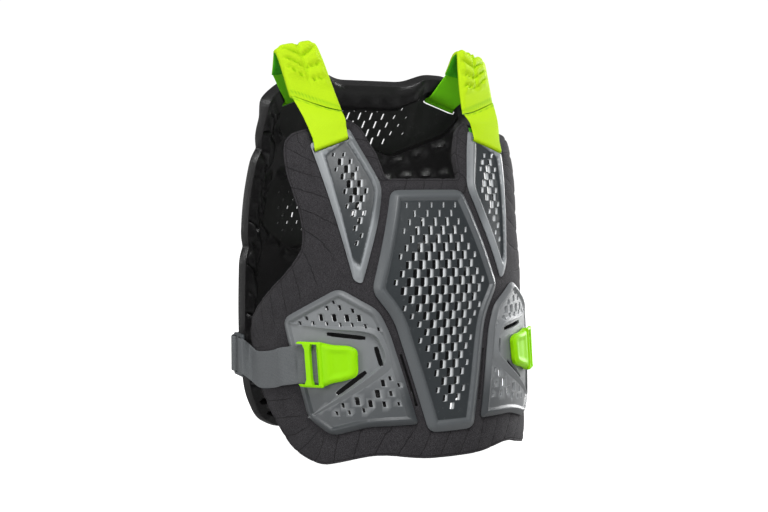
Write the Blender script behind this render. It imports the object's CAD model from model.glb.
"""A roost deflector: pierced chest and back plates on padded liners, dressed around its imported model."""

import logging
import math
from collections.abc import Callable, Sequence
from dataclasses import dataclass, replace
from enum import Enum

import bmesh
import bpy
import numpy as np
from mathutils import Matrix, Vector


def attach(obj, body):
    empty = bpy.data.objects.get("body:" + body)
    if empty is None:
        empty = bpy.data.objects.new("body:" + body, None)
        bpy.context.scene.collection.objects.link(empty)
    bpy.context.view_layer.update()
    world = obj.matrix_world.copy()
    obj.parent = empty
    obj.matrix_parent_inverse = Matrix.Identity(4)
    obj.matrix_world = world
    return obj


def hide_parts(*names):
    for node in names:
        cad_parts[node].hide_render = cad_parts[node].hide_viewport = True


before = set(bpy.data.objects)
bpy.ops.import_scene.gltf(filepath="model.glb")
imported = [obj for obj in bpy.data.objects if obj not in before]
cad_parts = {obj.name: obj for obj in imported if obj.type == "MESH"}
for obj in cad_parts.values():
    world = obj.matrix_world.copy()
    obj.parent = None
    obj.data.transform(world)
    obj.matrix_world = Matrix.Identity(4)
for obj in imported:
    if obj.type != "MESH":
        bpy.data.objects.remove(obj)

log = logging.getLogger("roost_deflector")

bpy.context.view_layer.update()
MM = 0.001

# Sizes in millimetres, in the terms of the model's source. Around is measured along the shell from its
# middle line, positive to the wearer's left, drop down from the shoulder rest, height outwards.
TORSO_HEIGHT = 450.0
FRONT_FOAM = 8.0
BACK_FOAM = 12.0
PLATE_THICK = 2.6
WEBBING_THICK = 1.8
SEAT_GAP = 0.3
CLOTH_GAP = 0.4
FRONT_SEAT = FRONT_FOAM + SEAT_GAP
BACK_SEAT = BACK_FOAM + SEAT_GAP
NECK_DROP = 141.0
NECK_HALF_WIDTH = 44.0
SHOULDER_OUTER = 144.0
SHOULDER_DROP = 84.0
ARMHOLE_INNER = 136.0
ARMHOLE_DROP = 200.0
SIDE_REACH = 239.0
HEM_MARGIN = 28.0
PLATE_GAP = 8.0
PLATE_CORNER = 9.0
BAR_SLOPE = 0.35
BAR_HEIGHT = 7.0
BAR_LENGTH = 46.0
SLOT_HEIGHT = 4.6
WEBBING_WIDTH = 38.0
WEBBING_START = (BAR_LENGTH - WEBBING_WIDTH) / 2
HOOK_DROP = 327.5
HOOK_TIP = 89.0
HOOK_LENGTH = 59.0
HOOK_HEIGHT = 46.0
HOOK_THICK = 8.0
RIB_OUTER = 167.0
ELASTIC_WIDTH = 39.0
FRONT_HALF_WIDTH = 152.0
BACK_SIDE = 172.0

Corner = tuple[float, float, float]
Place = tuple[float, float]
Row = tuple[float, float, float, float]
Piece = bpy.types.Object
Socket = bpy.types.NodeSocket
Array = np.ndarray
Lines = tuple[Array, Array]
Reading = Callable[[Array, Array], Array]


class Side(Enum):
    """The wearer's side that a paired piece is on, with the sign of its X."""

    RIGHT = -1
    LEFT = 1

    @property
    def word(self) -> str:
        """The side as the nodes' names say it."""
        return self.name.lower()

    def own(self, corners: Sequence[Corner]) -> tuple[Corner, ...]:
        """An outline's corners, given for the wearer's left, on this side."""
        return tuple((self.value * x, drop, radius) for x, drop, radius in corners)


def smooth(low: float, high: float, value: Array) -> Array:
    """A soft step from 0 at low to 1 at high.

    Args:
        low: Where the step starts.
        high: Where the step ends.
        value: The places to read.

    Returns:
        The step at each place.
    """
    share = np.clip((np.asarray(value, float) - low) / (high - low), 0.0, 1.0)
    return share * share * (3.0 - 2.0 * share)


def hump(apart: Array, width: float) -> Array:
    """1 where the distance is 0, falling away over a width on both sides."""
    return np.exp(-((apart / width) ** 2))


def wave(turns: Array) -> Array:
    """A zigzag with one period a turn: 1 at whole turns and 0 halfway between them."""
    return np.abs(np.mod(turns, 1.0) - 0.5) * 2.0


def through(rows: Array, places: Array) -> Array:
    """Reads a smooth curve through evenly counted rows.

    Args:
        rows: One row of numbers for each counted place.
        places: Where to read, in rows.

    Returns:
        One row of numbers for each place.
    """
    last = len(rows) - 1
    start = np.clip(np.floor(places).astype(int), 0, last - 1)
    share = np.clip(places - start, 0.0, 1.0)[:, None]
    a, b, c, d = (rows[np.clip(start + shift, 0, last)] for shift in (-1, 0, 1, 2))
    return b + 0.5 * share * (
        c - a + share * (2 * a - 5 * b + 4 * c - d + share * (3 * (b - c) + d - a))
    )


# Shells that the flat patterns are laid on.


class Shell:
    """A torso shell, on which a place in the flat pattern has a point and an outward normal."""

    STEP = 2.5
    TOP = -30.0
    FOOT = 490.0
    REACH = 330.0
    TURN = 0.8 * math.pi
    TURN_STEPS = 500

    def __init__(self, face: int, half_width: float, depth: float, sections: Sequence[Corner]) -> None:
        """Works out the shell's points on a fine grid.

        Args:
            face: -1 for the chest and 1 for the back.
            half_width: Half of the widest section.
            depth: The deepest section's depth from the arm line.
            sections: Rows of width share, depth share and squareness, from the shoulder down.
        """
        self.face = face
        self.half_width = half_width
        self.depth = depth
        drops = np.arange(self.TOP, self.FOOT, self.STEP)
        rows = through(np.array(sections), np.clip(drops / TORSO_HEIGHT, 0, 1) * (len(sections) - 1))
        arounds = np.arange(0.0, self.REACH, self.STEP)
        angles = np.linspace(0.0, self.TURN, self.TURN_STEPS)
        points = np.empty((len(drops), len(arounds), 3))
        for index, (drop, (width, deep, square)) in enumerate(zip(drops, rows)):
            across = half_width * width * np.sign(np.sin(angles)) * np.abs(np.sin(angles)) ** (2 / square)
            out = depth * deep * np.sign(np.cos(angles)) * np.abs(np.cos(angles)) ** (2 / square)
            run = np.concatenate([[0.0], np.cumsum(np.hypot(np.diff(across), np.diff(out)))])
            points[index, :, 0] = np.interp(arounds, run, across)
            points[index, :, 1] = face * np.interp(arounds, run, out)
            points[index, :, 2] = -drop
        down, along = np.gradient(points, axis=0), np.gradient(points, axis=1)
        along[:, 0] = (1.0, 0.0, 0.0)
        normals = np.cross(along, down) * face
        normals /= np.maximum(np.linalg.norm(normals, axis=2, keepdims=True), 1e-9)
        self.points = points
        self.normals = normals

    def lay(self, pattern: Array) -> Array:
        """Moves places of the flat pattern onto the shell.

        Args:
            pattern: Rows of around, drop and height in millimetres.

        Returns:
            Rows of X, Y and Z in metres.
        """
        around, drop, height = pattern.T
        column = np.clip(np.abs(around) / self.STEP, 0, self.points.shape[1] - 1.001)
        row = np.clip((drop - self.TOP) / self.STEP, 0, self.points.shape[0] - 1.001)
        i, j = row.astype(int), column.astype(int)
        v, u = (row - i)[:, None], (column - j)[:, None]

        def read(table: Array) -> Array:
            """One table between its four nearest nodes."""
            upper = table[i, j] * (1 - u) + table[i, j + 1] * u
            lower = table[i + 1, j] * (1 - u) + table[i + 1, j + 1] * u
            return upper * (1 - v) + lower * v

        found = read(self.points) + read(self.normals) * height[:, None]
        found[:, 0] *= np.where(around < 0, -1.0, 1.0)
        return found * MM


FRONT = Shell(-1, FRONT_HALF_WIDTH, 150.0, (
    (0.87, 0.07, 2.6), (0.90, 0.22, 2.8), (0.93, 0.38, 3.0), (0.97, 0.58, 2.4), (0.99, 0.72, 2.1),
    (0.99, 0.81, 2.0), (1.00, 0.85, 2.0), (1.00, 0.91, 2.0), (0.99, 0.96, 2.0), (0.97, 1.00, 2.0),
))
BACK = Shell(1, 170.0, 103.0, (
    (0.75, 0.21, 2.4), (0.81, 0.51, 2.4), (0.88, 0.77, 2.3), (0.94, 0.89, 2.3), (0.97, 0.96, 2.2),
    (0.99, 0.99, 2.2), (1.00, 1.00, 2.2), (0.99, 0.99, 2.2), (0.96, 0.96, 2.2), (0.92, 0.92, 2.2),
))


# Outlines in the flat pattern.


def symmetric(half: Sequence[Corner]) -> tuple[Corner, ...]:
    """A half outline from the middle line down to it again, made whole by mirroring."""
    return (*half, *((-x, drop, radius) for x, drop, radius in reversed(half) if x > 0))


def rectangle(first: float, second: float, top: float, foot: float, radius: float) -> tuple[Corner, ...]:
    """A rectangle's corners between two places across and two down."""
    return (first, top, radius), (second, top, radius), (second, foot, radius), (first, foot, radius)


@dataclass(frozen=True)
class Outline:
    """A closed outline with rounded corners, read at any distance inside its edge."""

    corners: tuple[Corner, ...]
    spacing: float = 4.0
    arc_steps: int = 5
    like: "Outline | None" = None

    LEAST_RADIUS = 0.3
    ARC_SHARE = 0.45

    def ordered(self) -> Array:
        """The corners, always in the same direction."""
        flat = np.array(self.corners, float)
        area = np.sum(flat[:, 0] * np.roll(flat[:, 1], -1) - np.roll(flat[:, 0], -1) * flat[:, 1])
        return flat[::-1] if area < 0 else flat

    def side_points(self) -> list[int]:
        """How many points each side has, so that outlines made alike have as many."""
        here = self.ordered()[:, :2]
        lengths = np.linalg.norm(np.roll(here, -1, axis=0) - here, axis=1)
        return [max(1, round(length / self.spacing)) for length in lengths]

    def loop(self, inset: float = 0.0) -> Array:
        """The outline as points, the same number of them at every inset.

        Args:
            inset: The distance inside the edge.

        Returns:
            Rows of around and drop, clockwise as seen from outside the chest.
        """
        flat = self.ordered()
        counts = (self.like or self).side_points()
        here = flat[:, :2]
        before = here - np.roll(here, 1, axis=0)
        after = np.roll(here, -1, axis=0) - here
        before = before / np.linalg.norm(before, axis=1, keepdims=True)
        after = after / np.linalg.norm(after, axis=1, keepdims=True)
        normal = np.column_stack([-before[:, 1] - after[:, 1], before[:, 0] + after[:, 0]])
        moved = here + normal * (2 * inset / np.sum(normal**2, axis=1))[:, None]
        turn = before[:, 0] * after[:, 1] - before[:, 1] * after[:, 0]
        radii = np.maximum(flat[:, 2] - inset * np.sign(turn), self.LEAST_RADIUS)
        new_lengths = np.linalg.norm(np.roll(moved, -1, axis=0) - moved, axis=1)
        reach = np.minimum(radii, self.ARC_SHARE * np.minimum(new_lengths, np.roll(new_lengths, 1)))
        found: list[Array] = []
        for index in range(len(here)):
            start = moved[index] - before[index] * reach[index]
            end = moved[index] + after[index] * reach[index]
            for share in np.linspace(0.0, 1.0, self.arc_steps):
                found.append(
                    (1 - share) ** 2 * start + 2 * share * (1 - share) * moved[index] + share**2 * end)
            following = (index + 1) % len(here)
            target = moved[following] - before[following] * reach[following]
            for share in np.linspace(0.0, 1.0, counts[index] + 1)[1:-1]:
                found.append(end + share * (target - end))
        return np.array(found)

    def rise(self, profile: Sequence[Place]) -> list[Array]:
        """Loops that follow a profile of inset and height.

        Args:
            profile: Rows of inset and height, from the underside out to the top.

        Returns:
            One loop of around, drop and height for each row.
        """
        return [
            np.column_stack([self.loop(inset), np.full(len(self.loop()), height)])
            for inset, height in profile
        ]


def edge_at(rows: Sequence[Place], drop: float) -> float:
    """Straight lines through rows of drop and half width, read at one drop."""
    for (d0, w0), (d1, w1) in zip(rows, rows[1:]):
        if drop <= d1:
            return w0 + (drop - d0) * (w1 - w0) / (d1 - d0)
    return rows[-1][1]


CENTRE_HEIGHT = 245.0
CENTRE_TOP_WIDTH = 84.0
CENTRE_WIDTH = 146.0
CENTRE_FOOT_WIDTH = 50.0
CENTRE_TOP = NECK_DROP + 11.0
CENTRE_FOOT = CENTRE_TOP + CENTRE_HEIGHT
CENTRE_ROWS = (
    (CENTRE_TOP, CENTRE_TOP_WIDTH / 2),
    (CENTRE_TOP + 0.41 * CENTRE_HEIGHT, CENTRE_WIDTH / 2),
    (CENTRE_TOP + 0.525 * CENTRE_HEIGHT, 0.36 * CENTRE_WIDTH),
    (CENTRE_FOOT, CENTRE_FOOT_WIDTH / 2),
)


def centre_edge(drop: float) -> float:
    """Half the centre plate's width at a drop."""
    return edge_at(CENTRE_ROWS, drop)


# Modelling by hand: primitives, edit mode and modifiers.


def deselect_all() -> None:
    """Leaves edit mode and selects nothing."""
    if bpy.context.object and bpy.context.object.mode != "OBJECT":
        bpy.ops.object.mode_set(mode="OBJECT")
    bpy.ops.object.select_all(action="DESELECT")


def activate(piece: Piece) -> None:
    """Selects one piece alone and makes it active."""
    deselect_all()
    piece.select_set(True)
    bpy.context.view_layer.objects.active = piece


def points_of(piece: Piece) -> Array:
    """A piece's vertices, in metres."""
    flat = np.empty(len(piece.data.vertices) * 3)
    piece.data.vertices.foreach_get("co", flat)
    return flat.reshape(-1, 3)


def move_points(piece: Piece, points: Array) -> None:
    """Puts a piece's vertices at new places, in metres."""
    piece.data.vertices.foreach_set("co", np.ascontiguousarray(points, float).ravel())
    piece.data.update()


def face_outwards(piece: Piece, triangles: bool = False) -> None:
    """Turns a piece's faces outwards, once they are triangles where that is asked for."""
    activate(piece)
    bpy.ops.object.mode_set(mode="EDIT")
    bpy.ops.mesh.select_all(action="SELECT")
    if triangles:
        bpy.ops.mesh.quads_convert_to_tris(quad_method="BEAUTY", ngon_method="BEAUTY")
    bpy.ops.mesh.normals_make_consistent(inside=False)
    bpy.ops.object.mode_set(mode="OBJECT")


def new_object(name: str, data: bpy.types.ID) -> Piece:
    """Puts some data into the scene as an object."""
    made = bpy.data.objects.new(name, data)
    bpy.context.scene.collection.objects.link(made)
    return made


def raise_loops(name: str, loops: Sequence[Array]) -> Piece:
    """A closed solid: a filled circle put on the first loop, then extruded from loop to loop.

    Args:
        name: The piece's name.
        loops: Rows of three numbers, the same count in each, in the pattern's or real axes.

    Returns:
        The solid, with its loop and place on the loop kept in the attributes row and place.
    """
    deselect_all()
    count = len(loops[0])
    bpy.ops.mesh.primitive_circle_add(vertices=count, radius=0.1, fill_type="NGON", location=(0, 0, 0))
    piece = bpy.context.object
    piece.name = piece.data.name = name
    bpy.ops.object.mode_set(mode="EDIT")
    mesh = bmesh.from_edit_mesh(piece.data)
    place = mesh.verts.layers.int.new("place")
    row = mesh.verts.layers.int.new("row")
    mesh.verts.ensure_lookup_table()
    for index, vertex in enumerate(mesh.verts):
        vertex[place] = index
        vertex.co = loops[0][index]
    bpy.ops.mesh.select_all(action="SELECT")
    for step, loop in enumerate(loops[1:], start=1):
        bpy.ops.mesh.extrude_region_move(TRANSFORM_OT_translate={"value": (0, 0, 0)})
        mesh = bmesh.from_edit_mesh(piece.data)
        place = mesh.verts.layers.int["place"]
        row = mesh.verts.layers.int["row"]
        for vertex in mesh.verts:
            if vertex.select:
                vertex.co = loop[vertex[place]]
                vertex[row] = step
    bmesh.update_edit_mesh(piece.data)
    face_outwards(piece)
    return piece


def flat_axes(shell: Shell, loops: Sequence[Array]) -> list[Array]:
    """Loops of around, drop and height as flat X, Y and Z that the shell's face looks along."""
    return [np.column_stack([loop[:, 0], shell.face * loop[:, 2], -loop[:, 1]]) for loop in loops]


def flat_solid(name: str, shell: Shell, loops: Sequence[Array]) -> Piece:
    """A solid in the flat pattern of a shell, in millimetres, still to be sliced and laid."""
    return raise_loops(name, flat_axes(shell, loops))


# A cut lies this share of the spacing off its even place, so that it misses the outlines' points.
CUT_SHIFT = 0.013


def slice_evenly(piece: Piece, spacing: float) -> None:
    """Bisects a flat piece at even places across and down, so that it can bend.

    Args:
        piece: The flat solid, in millimetres.
        spacing: The distance between the cuts.
    """
    low, high = points_of(piece).min(axis=0), points_of(piece).max(axis=0)
    activate(piece)
    bpy.ops.object.mode_set(mode="EDIT")
    for axis, direction in ((0, (1, 0, 0)), (2, (0, 0, 1))):
        first = math.floor(low[axis] / spacing) + 1
        for cut in range(first, math.ceil(high[axis] / spacing)):
            at = [0.0, 0.0, 0.0]
            at[axis] = (cut + CUT_SHIFT) * spacing
            bpy.ops.mesh.select_all(action="SELECT")
            bpy.ops.mesh.bisect(plane_co=at, plane_no=direction, use_fill=False)
    bpy.ops.object.mode_set(mode="OBJECT")


def pattern_of(shell: Shell, piece: Piece) -> Array:
    """A flat piece's vertices as around, drop and height."""
    flat = points_of(piece)
    return np.column_stack([flat[:, 0], -flat[:, 2], shell.face * flat[:, 1]])


def lay_on(shell: Shell, piece: Piece) -> None:
    """Moves a flat piece onto its shell, in metres, as triangles that face outwards."""
    move_points(piece, shell.lay(pattern_of(shell, piece)))
    face_outwards(piece, triangles=True)


def combine(piece: Piece, other: Piece, how: str) -> None:
    """Adds another solid to a piece or cuts it away, and deletes the other.

    Args:
        piece: The solid that stays.
        other: The solid that is used up.
        how: UNION or DIFFERENCE.
    """
    activate(piece)
    modifier = piece.modifiers.new(how.lower(), "BOOLEAN")
    modifier.operation = how
    modifier.solver = "MANIFOLD"
    modifier.object = other
    bpy.ops.object.modifier_apply(modifier=modifier.name)
    bpy.data.objects.remove(other, do_unlink=True)


def copies(name: str, model: Piece, placed: Sequence[Array]) -> Piece:
    """One mesh of many copies of a small model, which is used up.

    Args:
        name: The name of the mesh.
        model: The small solid that repeats.
        placed: The vertices of each copy.

    Returns:
        The object that holds every copy.
    """
    faces = [tuple(face.vertices) for face in model.data.polygons]
    count = len(model.data.vertices)
    mesh = bpy.data.meshes.new(name)
    mesh.from_pydata(
        np.vstack(placed).tolist(), [],
        [tuple(v + copy * count for v in face) for copy in range(len(placed)) for face in faces])
    bpy.data.objects.remove(model, do_unlink=True)
    piece = new_object(name, mesh)
    face_outwards(piece)
    return piece


def write_attribute(piece: Piece, name: str, values: Array) -> None:
    """Keeps one number for each vertex, for the piece's finish to read."""
    layer = piece.data.attributes.get(name) or piece.data.attributes.new(name, "FLOAT", "POINT")
    layer.data.foreach_set("value", np.ascontiguousarray(values, float))


def write_weave(piece: Piece, name: str, pairs: Array) -> None:
    """Keeps a pair of lengths for each vertex as a UV map, in metres.

    Args:
        piece: The piece that gets the map.
        name: The map's name.
        pairs: Two lengths for each vertex, in millimetres.
    """
    layer = piece.data.uv_layers.get(name) or piece.data.uv_layers.new(name=name)
    corners = np.empty(len(piece.data.loops), int)
    piece.data.loops.foreach_get("vertex_index", corners)
    layer.data.foreach_set("uv", (pairs[corners] * MM).ravel())


# Places read at a time, which keeps the table of distances small.
BATCH = 4000


def from_edge(places: Array, loops: Sequence[Array]) -> Array:
    """How far along the nearest edge each place lies, and how far from it.

    Args:
        places: Rows of around and drop.
        loops: Closed loops of around and drop.

    Returns:
        Rows of the two distances.
    """
    dense, runs = [], []
    for loop in loops:
        closed = np.vstack([loop, loop[:1]])
        run = np.concatenate([[0.0], np.cumsum(np.linalg.norm(np.diff(closed, axis=0), axis=1))])
        along = np.arange(0.0, run[-1], 1.0)
        dense.append(np.column_stack([np.interp(along, run, closed[:, k]) for k in (0, 1)]))
        runs.append(along)
    edge, run = np.vstack(dense), np.concatenate(runs)
    found = np.empty((len(places), 2))
    for start in range(0, len(places), BATCH):
        part = places[start : start + BATCH]
        apart = np.linalg.norm(part[:, None, :] - edge[None, :, :], axis=2)
        nearest = apart.argmin(axis=1)
        found[start : start + BATCH] = np.column_stack([run[nearest], apart.min(axis=1)])
    return found


# Finishes.

Colour = tuple[float, float, float, float]


def colour(red: int, green: int, blue: int) -> Colour:
    """A colour picked in the usual 0 to 255 steps, as the shader's linear values."""
    parts = [value / 255 for value in (red, green, blue)]
    return (*(p / 12.92 if p <= 0.04045 else ((p + 0.055) / 1.055) ** 2.4 for p in parts), 1.0)


class Recipe:
    """A material's node tree while it is put together."""

    def __init__(self, name: str) -> None:
        """Starts a material with a bare surface shader."""
        self.material = bpy.data.materials.new(name)
        self.material.use_nodes = True
        self.tree = self.material.node_tree
        self.shader = self.tree.nodes["Principled BSDF"]

    def node(self, kind: str, **settings: object) -> bpy.types.Node:
        """Adds a node with its settings."""
        made = self.tree.nodes.new(kind)
        for name, value in settings.items():
            setattr(made, name, value)
        return made

    def feed(self, socket: Socket, value: object) -> None:
        """Gives a socket a number, or the output of another node."""
        if isinstance(value, Socket):
            self.tree.links.new(value, socket)
        else:
            socket.default_value = value

    def maths(self, operation: str, first: object, second: object = 0.0) -> Socket:
        """One calculation with two values or outputs."""
        made = self.node("ShaderNodeMath", operation=operation)
        self.feed(made.inputs[0], first)
        self.feed(made.inputs[1], second)
        return made.outputs[0]

    def ramp(self, value: object, low: float, high: float) -> Socket:
        """A soft step from 0 to 1 between two values."""
        made = self.node("ShaderNodeMapRange", interpolation_type="SMOOTHSTEP")
        self.feed(made.inputs["Value"], value)
        made.inputs["From Min"].default_value = low
        made.inputs["From Max"].default_value = high
        return made.outputs[0]

    def mix(self, share: object, first: object, second: object) -> Socket:
        """A colour between two colours."""
        made = self.node("ShaderNodeMix", data_type="RGBA")
        self.feed(made.inputs[0], share)
        self.feed(made.inputs[6], first)
        self.feed(made.inputs[7], second)
        return made.outputs[2]

    def noise(self, scale: float, detail: float, rough: float = 0.5) -> Socket:
        """Noise over the object's own axes, with its scale in turns a metre."""
        place = self.node("ShaderNodeTexCoord")
        made = self.node("ShaderNodeTexNoise")
        self.feed(made.inputs["Vector"], place.outputs["Object"])
        made.inputs["Scale"].default_value = scale
        made.inputs["Detail"].default_value = detail
        made.inputs["Roughness"].default_value = rough
        return made.outputs["Fac"]

    def lengths(self, name: str) -> tuple[Socket, Socket]:
        """The two lengths of a UV map, in metres."""
        made = self.node("ShaderNodeUVMap", uv_map=name)
        split = self.node("ShaderNodeSeparateXYZ")
        self.feed(split.inputs[0], made.outputs[0])
        return split.outputs[0], split.outputs[1]

    def attribute(self, name: str) -> Socket:
        """A number kept on the mesh."""
        return self.node("ShaderNodeAttribute", attribute_name=name).outputs["Fac"]

    def bump(self, height: object, depth: float, strength: float = 1.0) -> None:
        """Gives the surface its relief, in metres."""
        made = self.node("ShaderNodeBump")
        self.feed(made.inputs["Height"], height)
        made.inputs["Distance"].default_value = depth
        made.inputs["Strength"].default_value = strength
        self.feed(self.shader.inputs["Normal"], made.outputs[0])

    def surface(self, base: object, roughness: object, **sockets: object) -> bpy.types.Material:
        """Finishes the material.

        Args:
            base: Its colour.
            roughness: Its roughness.
            sockets: Other values of the shader, by the socket's name with _ for spaces.

        Returns:
            The material.
        """
        self.feed(self.shader.inputs["Base Color"], base)
        self.feed(self.shader.inputs["Roughness"], roughness)
        for name, value in sockets.items():
            self.feed(self.shader.inputs[name.replace("_", " ")], value)
        return self.material


@dataclass(frozen=True)
class LinerCloth:
    """Heathered cloth laminated to foam, creased across its edges and seamed along them."""

    name: str = "liner_cloth"
    light: Colour = colour(70, 68, 71)
    dark: Colour = colour(27, 26, 28)
    crease: Colour = colour(14, 13, 14)
    crease_pitch: float = 0.0215
    crease_reach: float = 0.042
    crease_lean: float = 0.55
    seam_inset: float = 0.0022

    def make(self) -> bpy.types.Material:
        """The material, read from the liner's own edge map."""
        recipe = Recipe(self.name)
        along, inside = recipe.lengths("edge")
        fibres = recipe.noise(1700.0, 3.0, 0.7)
        patches = recipe.noise(60.0, 2.0)
        heather = recipe.mix(recipe.ramp(fibres, 0.36, 0.66), self.dark, self.light)
        heather = recipe.mix(
            recipe.maths("MULTIPLY", recipe.ramp(patches, 0.4, 0.75), 0.22), heather, self.dark)
        leant = recipe.maths("ADD", along, recipe.maths("MULTIPLY", inside, self.crease_lean))
        turns = recipe.maths("FRACT", recipe.maths("DIVIDE", leant, self.crease_pitch))
        apart = recipe.maths("ABSOLUTE", recipe.maths("SUBTRACT", turns, 0.5))
        line = recipe.maths("SUBTRACT", 1.0, recipe.ramp(apart, 0.0, 0.045))
        near = recipe.maths("SUBTRACT", 1.0, recipe.ramp(inside, 0.6 * self.crease_reach, self.crease_reach))
        line = recipe.maths("MULTIPLY", line, near)
        offset = recipe.maths("ABSOLUTE", recipe.maths("SUBTRACT", inside, self.seam_inset))
        seam = recipe.maths("SUBTRACT", 1.0, recipe.ramp(offset, 0.0002, 0.0008))
        dents = recipe.maths(
            "MAXIMUM", recipe.maths("MULTIPLY", line, 0.75), recipe.maths("MULTIPLY", seam, 0.6))
        relief = recipe.maths("SUBTRACT", recipe.maths("MULTIPLY", fibres, 0.35), dents)
        recipe.bump(relief, 0.0007)
        base = recipe.mix(recipe.maths("MULTIPLY", dents, 0.75), heather, self.crease)
        return recipe.surface(base, 0.93, Specular_IOR_Level=0.15, Sheen_Weight=0.04, Sheen_Roughness=0.6)


@dataclass(frozen=True)
class MouldedFoam:
    """Black cloth moulded over foam, with a fine knit."""

    name: str = "moulded_foam"
    light: Colour = colour(25, 24, 25)
    dark: Colour = colour(9, 8, 9)
    knit: float = 1100.0

    def make(self) -> bpy.types.Material:
        """The material, over the object's own axes."""
        recipe = Recipe(self.name)
        knit = recipe.noise(self.knit, 2.0, 0.6)
        patches = recipe.noise(35.0, 3.0)
        base = recipe.mix(recipe.ramp(knit, 0.35, 0.7), self.dark, self.light)
        base = recipe.mix(recipe.maths("MULTIPLY", recipe.ramp(patches, 0.4, 0.8), 0.4), base, self.dark)
        recipe.bump(knit, 0.00035)
        return recipe.surface(base, 0.34, Specular_IOR_Level=0.55)


@dataclass(frozen=True)
class MouldedPlastic:
    """Moulded plastic with a fine grain, in other tones where the attributes rim and wall say so."""

    name: str
    field: Colour
    rim: Colour
    roughness: float = 0.34
    wall: Colour = colour(236, 239, 241)
    wall_share: float = 0.95
    wear: float = 0.1
    worn: Colour = (0.4, 0.41, 0.42, 1.0)
    gloss: float = 0.5
    grain: float = 2200.0

    def make(self) -> bpy.types.Material:
        """The material, with its scuffs and grain over the object's own axes."""
        recipe = Recipe(self.name)
        grain = recipe.noise(self.grain, 2.0, 0.55)
        clouds = recipe.noise(28.0, 4.0, 0.6)
        scuffs = recipe.noise(170.0, 5.0, 0.75)
        base = recipe.mix(recipe.attribute("rim"), self.field, self.rim)
        walls = recipe.maths("MULTIPLY", recipe.attribute("wall"), self.wall_share)
        base = recipe.mix(walls, base, self.wall)
        base = recipe.mix(
            recipe.maths("MULTIPLY", recipe.ramp(scuffs, 0.58, 0.72), self.wear), base, self.worn)
        rough = recipe.maths("ADD", self.roughness, recipe.maths("MULTIPLY", clouds, 0.16))
        recipe.bump(grain, 0.00012, 0.6)
        return recipe.surface(base, rough, Specular_IOR_Level=self.gloss)


class Weave(Enum):
    """How a webbing's or cloth's threads run."""

    WEBBING = "webbing"
    KNIT = "knit"
    ELASTIC = "elastic"


@dataclass(frozen=True)
class WovenFinish:
    """A woven band or padded cloth, its threads following the map named weave."""

    name: str
    light: Colour
    dark: Colour
    weave: Weave
    thread: float
    relief: float
    roughness: float = 0.8
    stitch: Colour = (0.1, 0.1, 0.1, 1.0)
    under: Colour | None = None

    def make(self) -> bpy.types.Material:
        """The material, with the threads along and across the band."""
        recipe = Recipe(self.name)
        along, across = recipe.lengths("weave")
        turn = 2 * math.pi / self.thread
        warp = recipe.maths("SINE", recipe.maths("MULTIPLY", across, turn))
        weft = recipe.maths("SINE", recipe.maths("MULTIPLY", along, turn))
        if self.weave is Weave.ELASTIC:
            relief = recipe.maths(
                "ADD", recipe.maths("MULTIPLY", warp, 0.35), recipe.maths("MULTIPLY", weft, 0.65))
        elif self.weave is Weave.WEBBING:
            diagonal = recipe.maths("ADD", along, recipe.maths("MULTIPLY", across, 0.6))
            twill = recipe.maths("SINE", recipe.maths("MULTIPLY", diagonal, turn))
            relief = recipe.maths(
                "ADD", recipe.maths("MULTIPLY", warp, 0.5), recipe.maths("MULTIPLY", twill, 0.5))
        else:
            relief = recipe.maths("MULTIPLY", warp, weft)
        speckle = recipe.noise(1900.0, 3.0, 0.7)
        clouds = recipe.noise(45.0, 3.0)
        tone = recipe.maths("ADD", recipe.maths("MULTIPLY", relief, 0.16), speckle)
        base = recipe.mix(recipe.ramp(tone, 0.22, 0.72), self.dark, self.light)
        base = recipe.mix(recipe.maths("MULTIPLY", recipe.ramp(clouds, 0.5, 0.8), 0.18), base, self.dark)
        if self.under:
            base = recipe.mix(recipe.attribute("under"), base, self.under)
        seam = recipe.attribute("stitch")
        base = recipe.mix(recipe.maths("MULTIPLY", seam, 0.8), base, self.stitch)
        height = recipe.maths(
            "SUBTRACT", recipe.maths("MULTIPLY", relief, 0.5), recipe.maths("MULTIPLY", seam, 1.5))
        recipe.bump(height, self.relief)
        return recipe.surface(base, self.roughness, Specular_IOR_Level=0.25)


class Finish(Enum):
    """The deflector's finishes."""

    LINER = LinerCloth()
    FOAM = MouldedFoam()
    CHEST_PLASTIC = MouldedPlastic("chest_plastic", colour(42, 47, 50), colour(146, 150, 153))
    RIB_PLASTIC = MouldedPlastic("rib_plastic", colour(120, 123, 125), colour(50, 54, 57), wall_share=0.2)
    BACK_PLASTIC = MouldedPlastic(
        "back_plastic", colour(38, 40, 38), colour(52, 54, 52), 0.45, wall_share=0.3)
    LIME_PLASTIC = MouldedPlastic(
        "lime_plastic", colour(150, 222, 0), colour(176, 240, 20), 0.42, wall_share=0.0, wear=0.0, gloss=0.15)
    SLIDER_PLASTIC = MouldedPlastic("slider_plastic", colour(70, 74, 77), colour(84, 88, 91), 0.42)
    LIME_PAD = WovenFinish(
        "lime_pad", colour(198, 234, 12), colour(170, 214, 4), Weave.KNIT, 0.0011, 0.0002, 0.75,
        colour(120, 190, 8), colour(60, 168, 6))
    LIME_WEBBING = WovenFinish(
        "lime_webbing", colour(196, 232, 8), colour(168, 212, 2), Weave.WEBBING, 0.0013, 0.00022, 0.7,
        colour(110, 180, 8), colour(66, 176, 6))
    GREEN_WEBBING = WovenFinish(
        "green_webbing", colour(132, 226, 10), colour(98, 206, 6), Weave.WEBBING, 0.0013, 0.00022, 0.7,
        colour(60, 150, 8), colour(66, 176, 6))
    GREY_ELASTIC = WovenFinish(
        "grey_elastic", colour(116, 119, 121), colour(80, 83, 85), Weave.ELASTIC, 0.0014, 0.00022, 0.88,
        colour(60, 62, 63))


MADE: dict[Finish, bpy.types.Material] = {}


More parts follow.
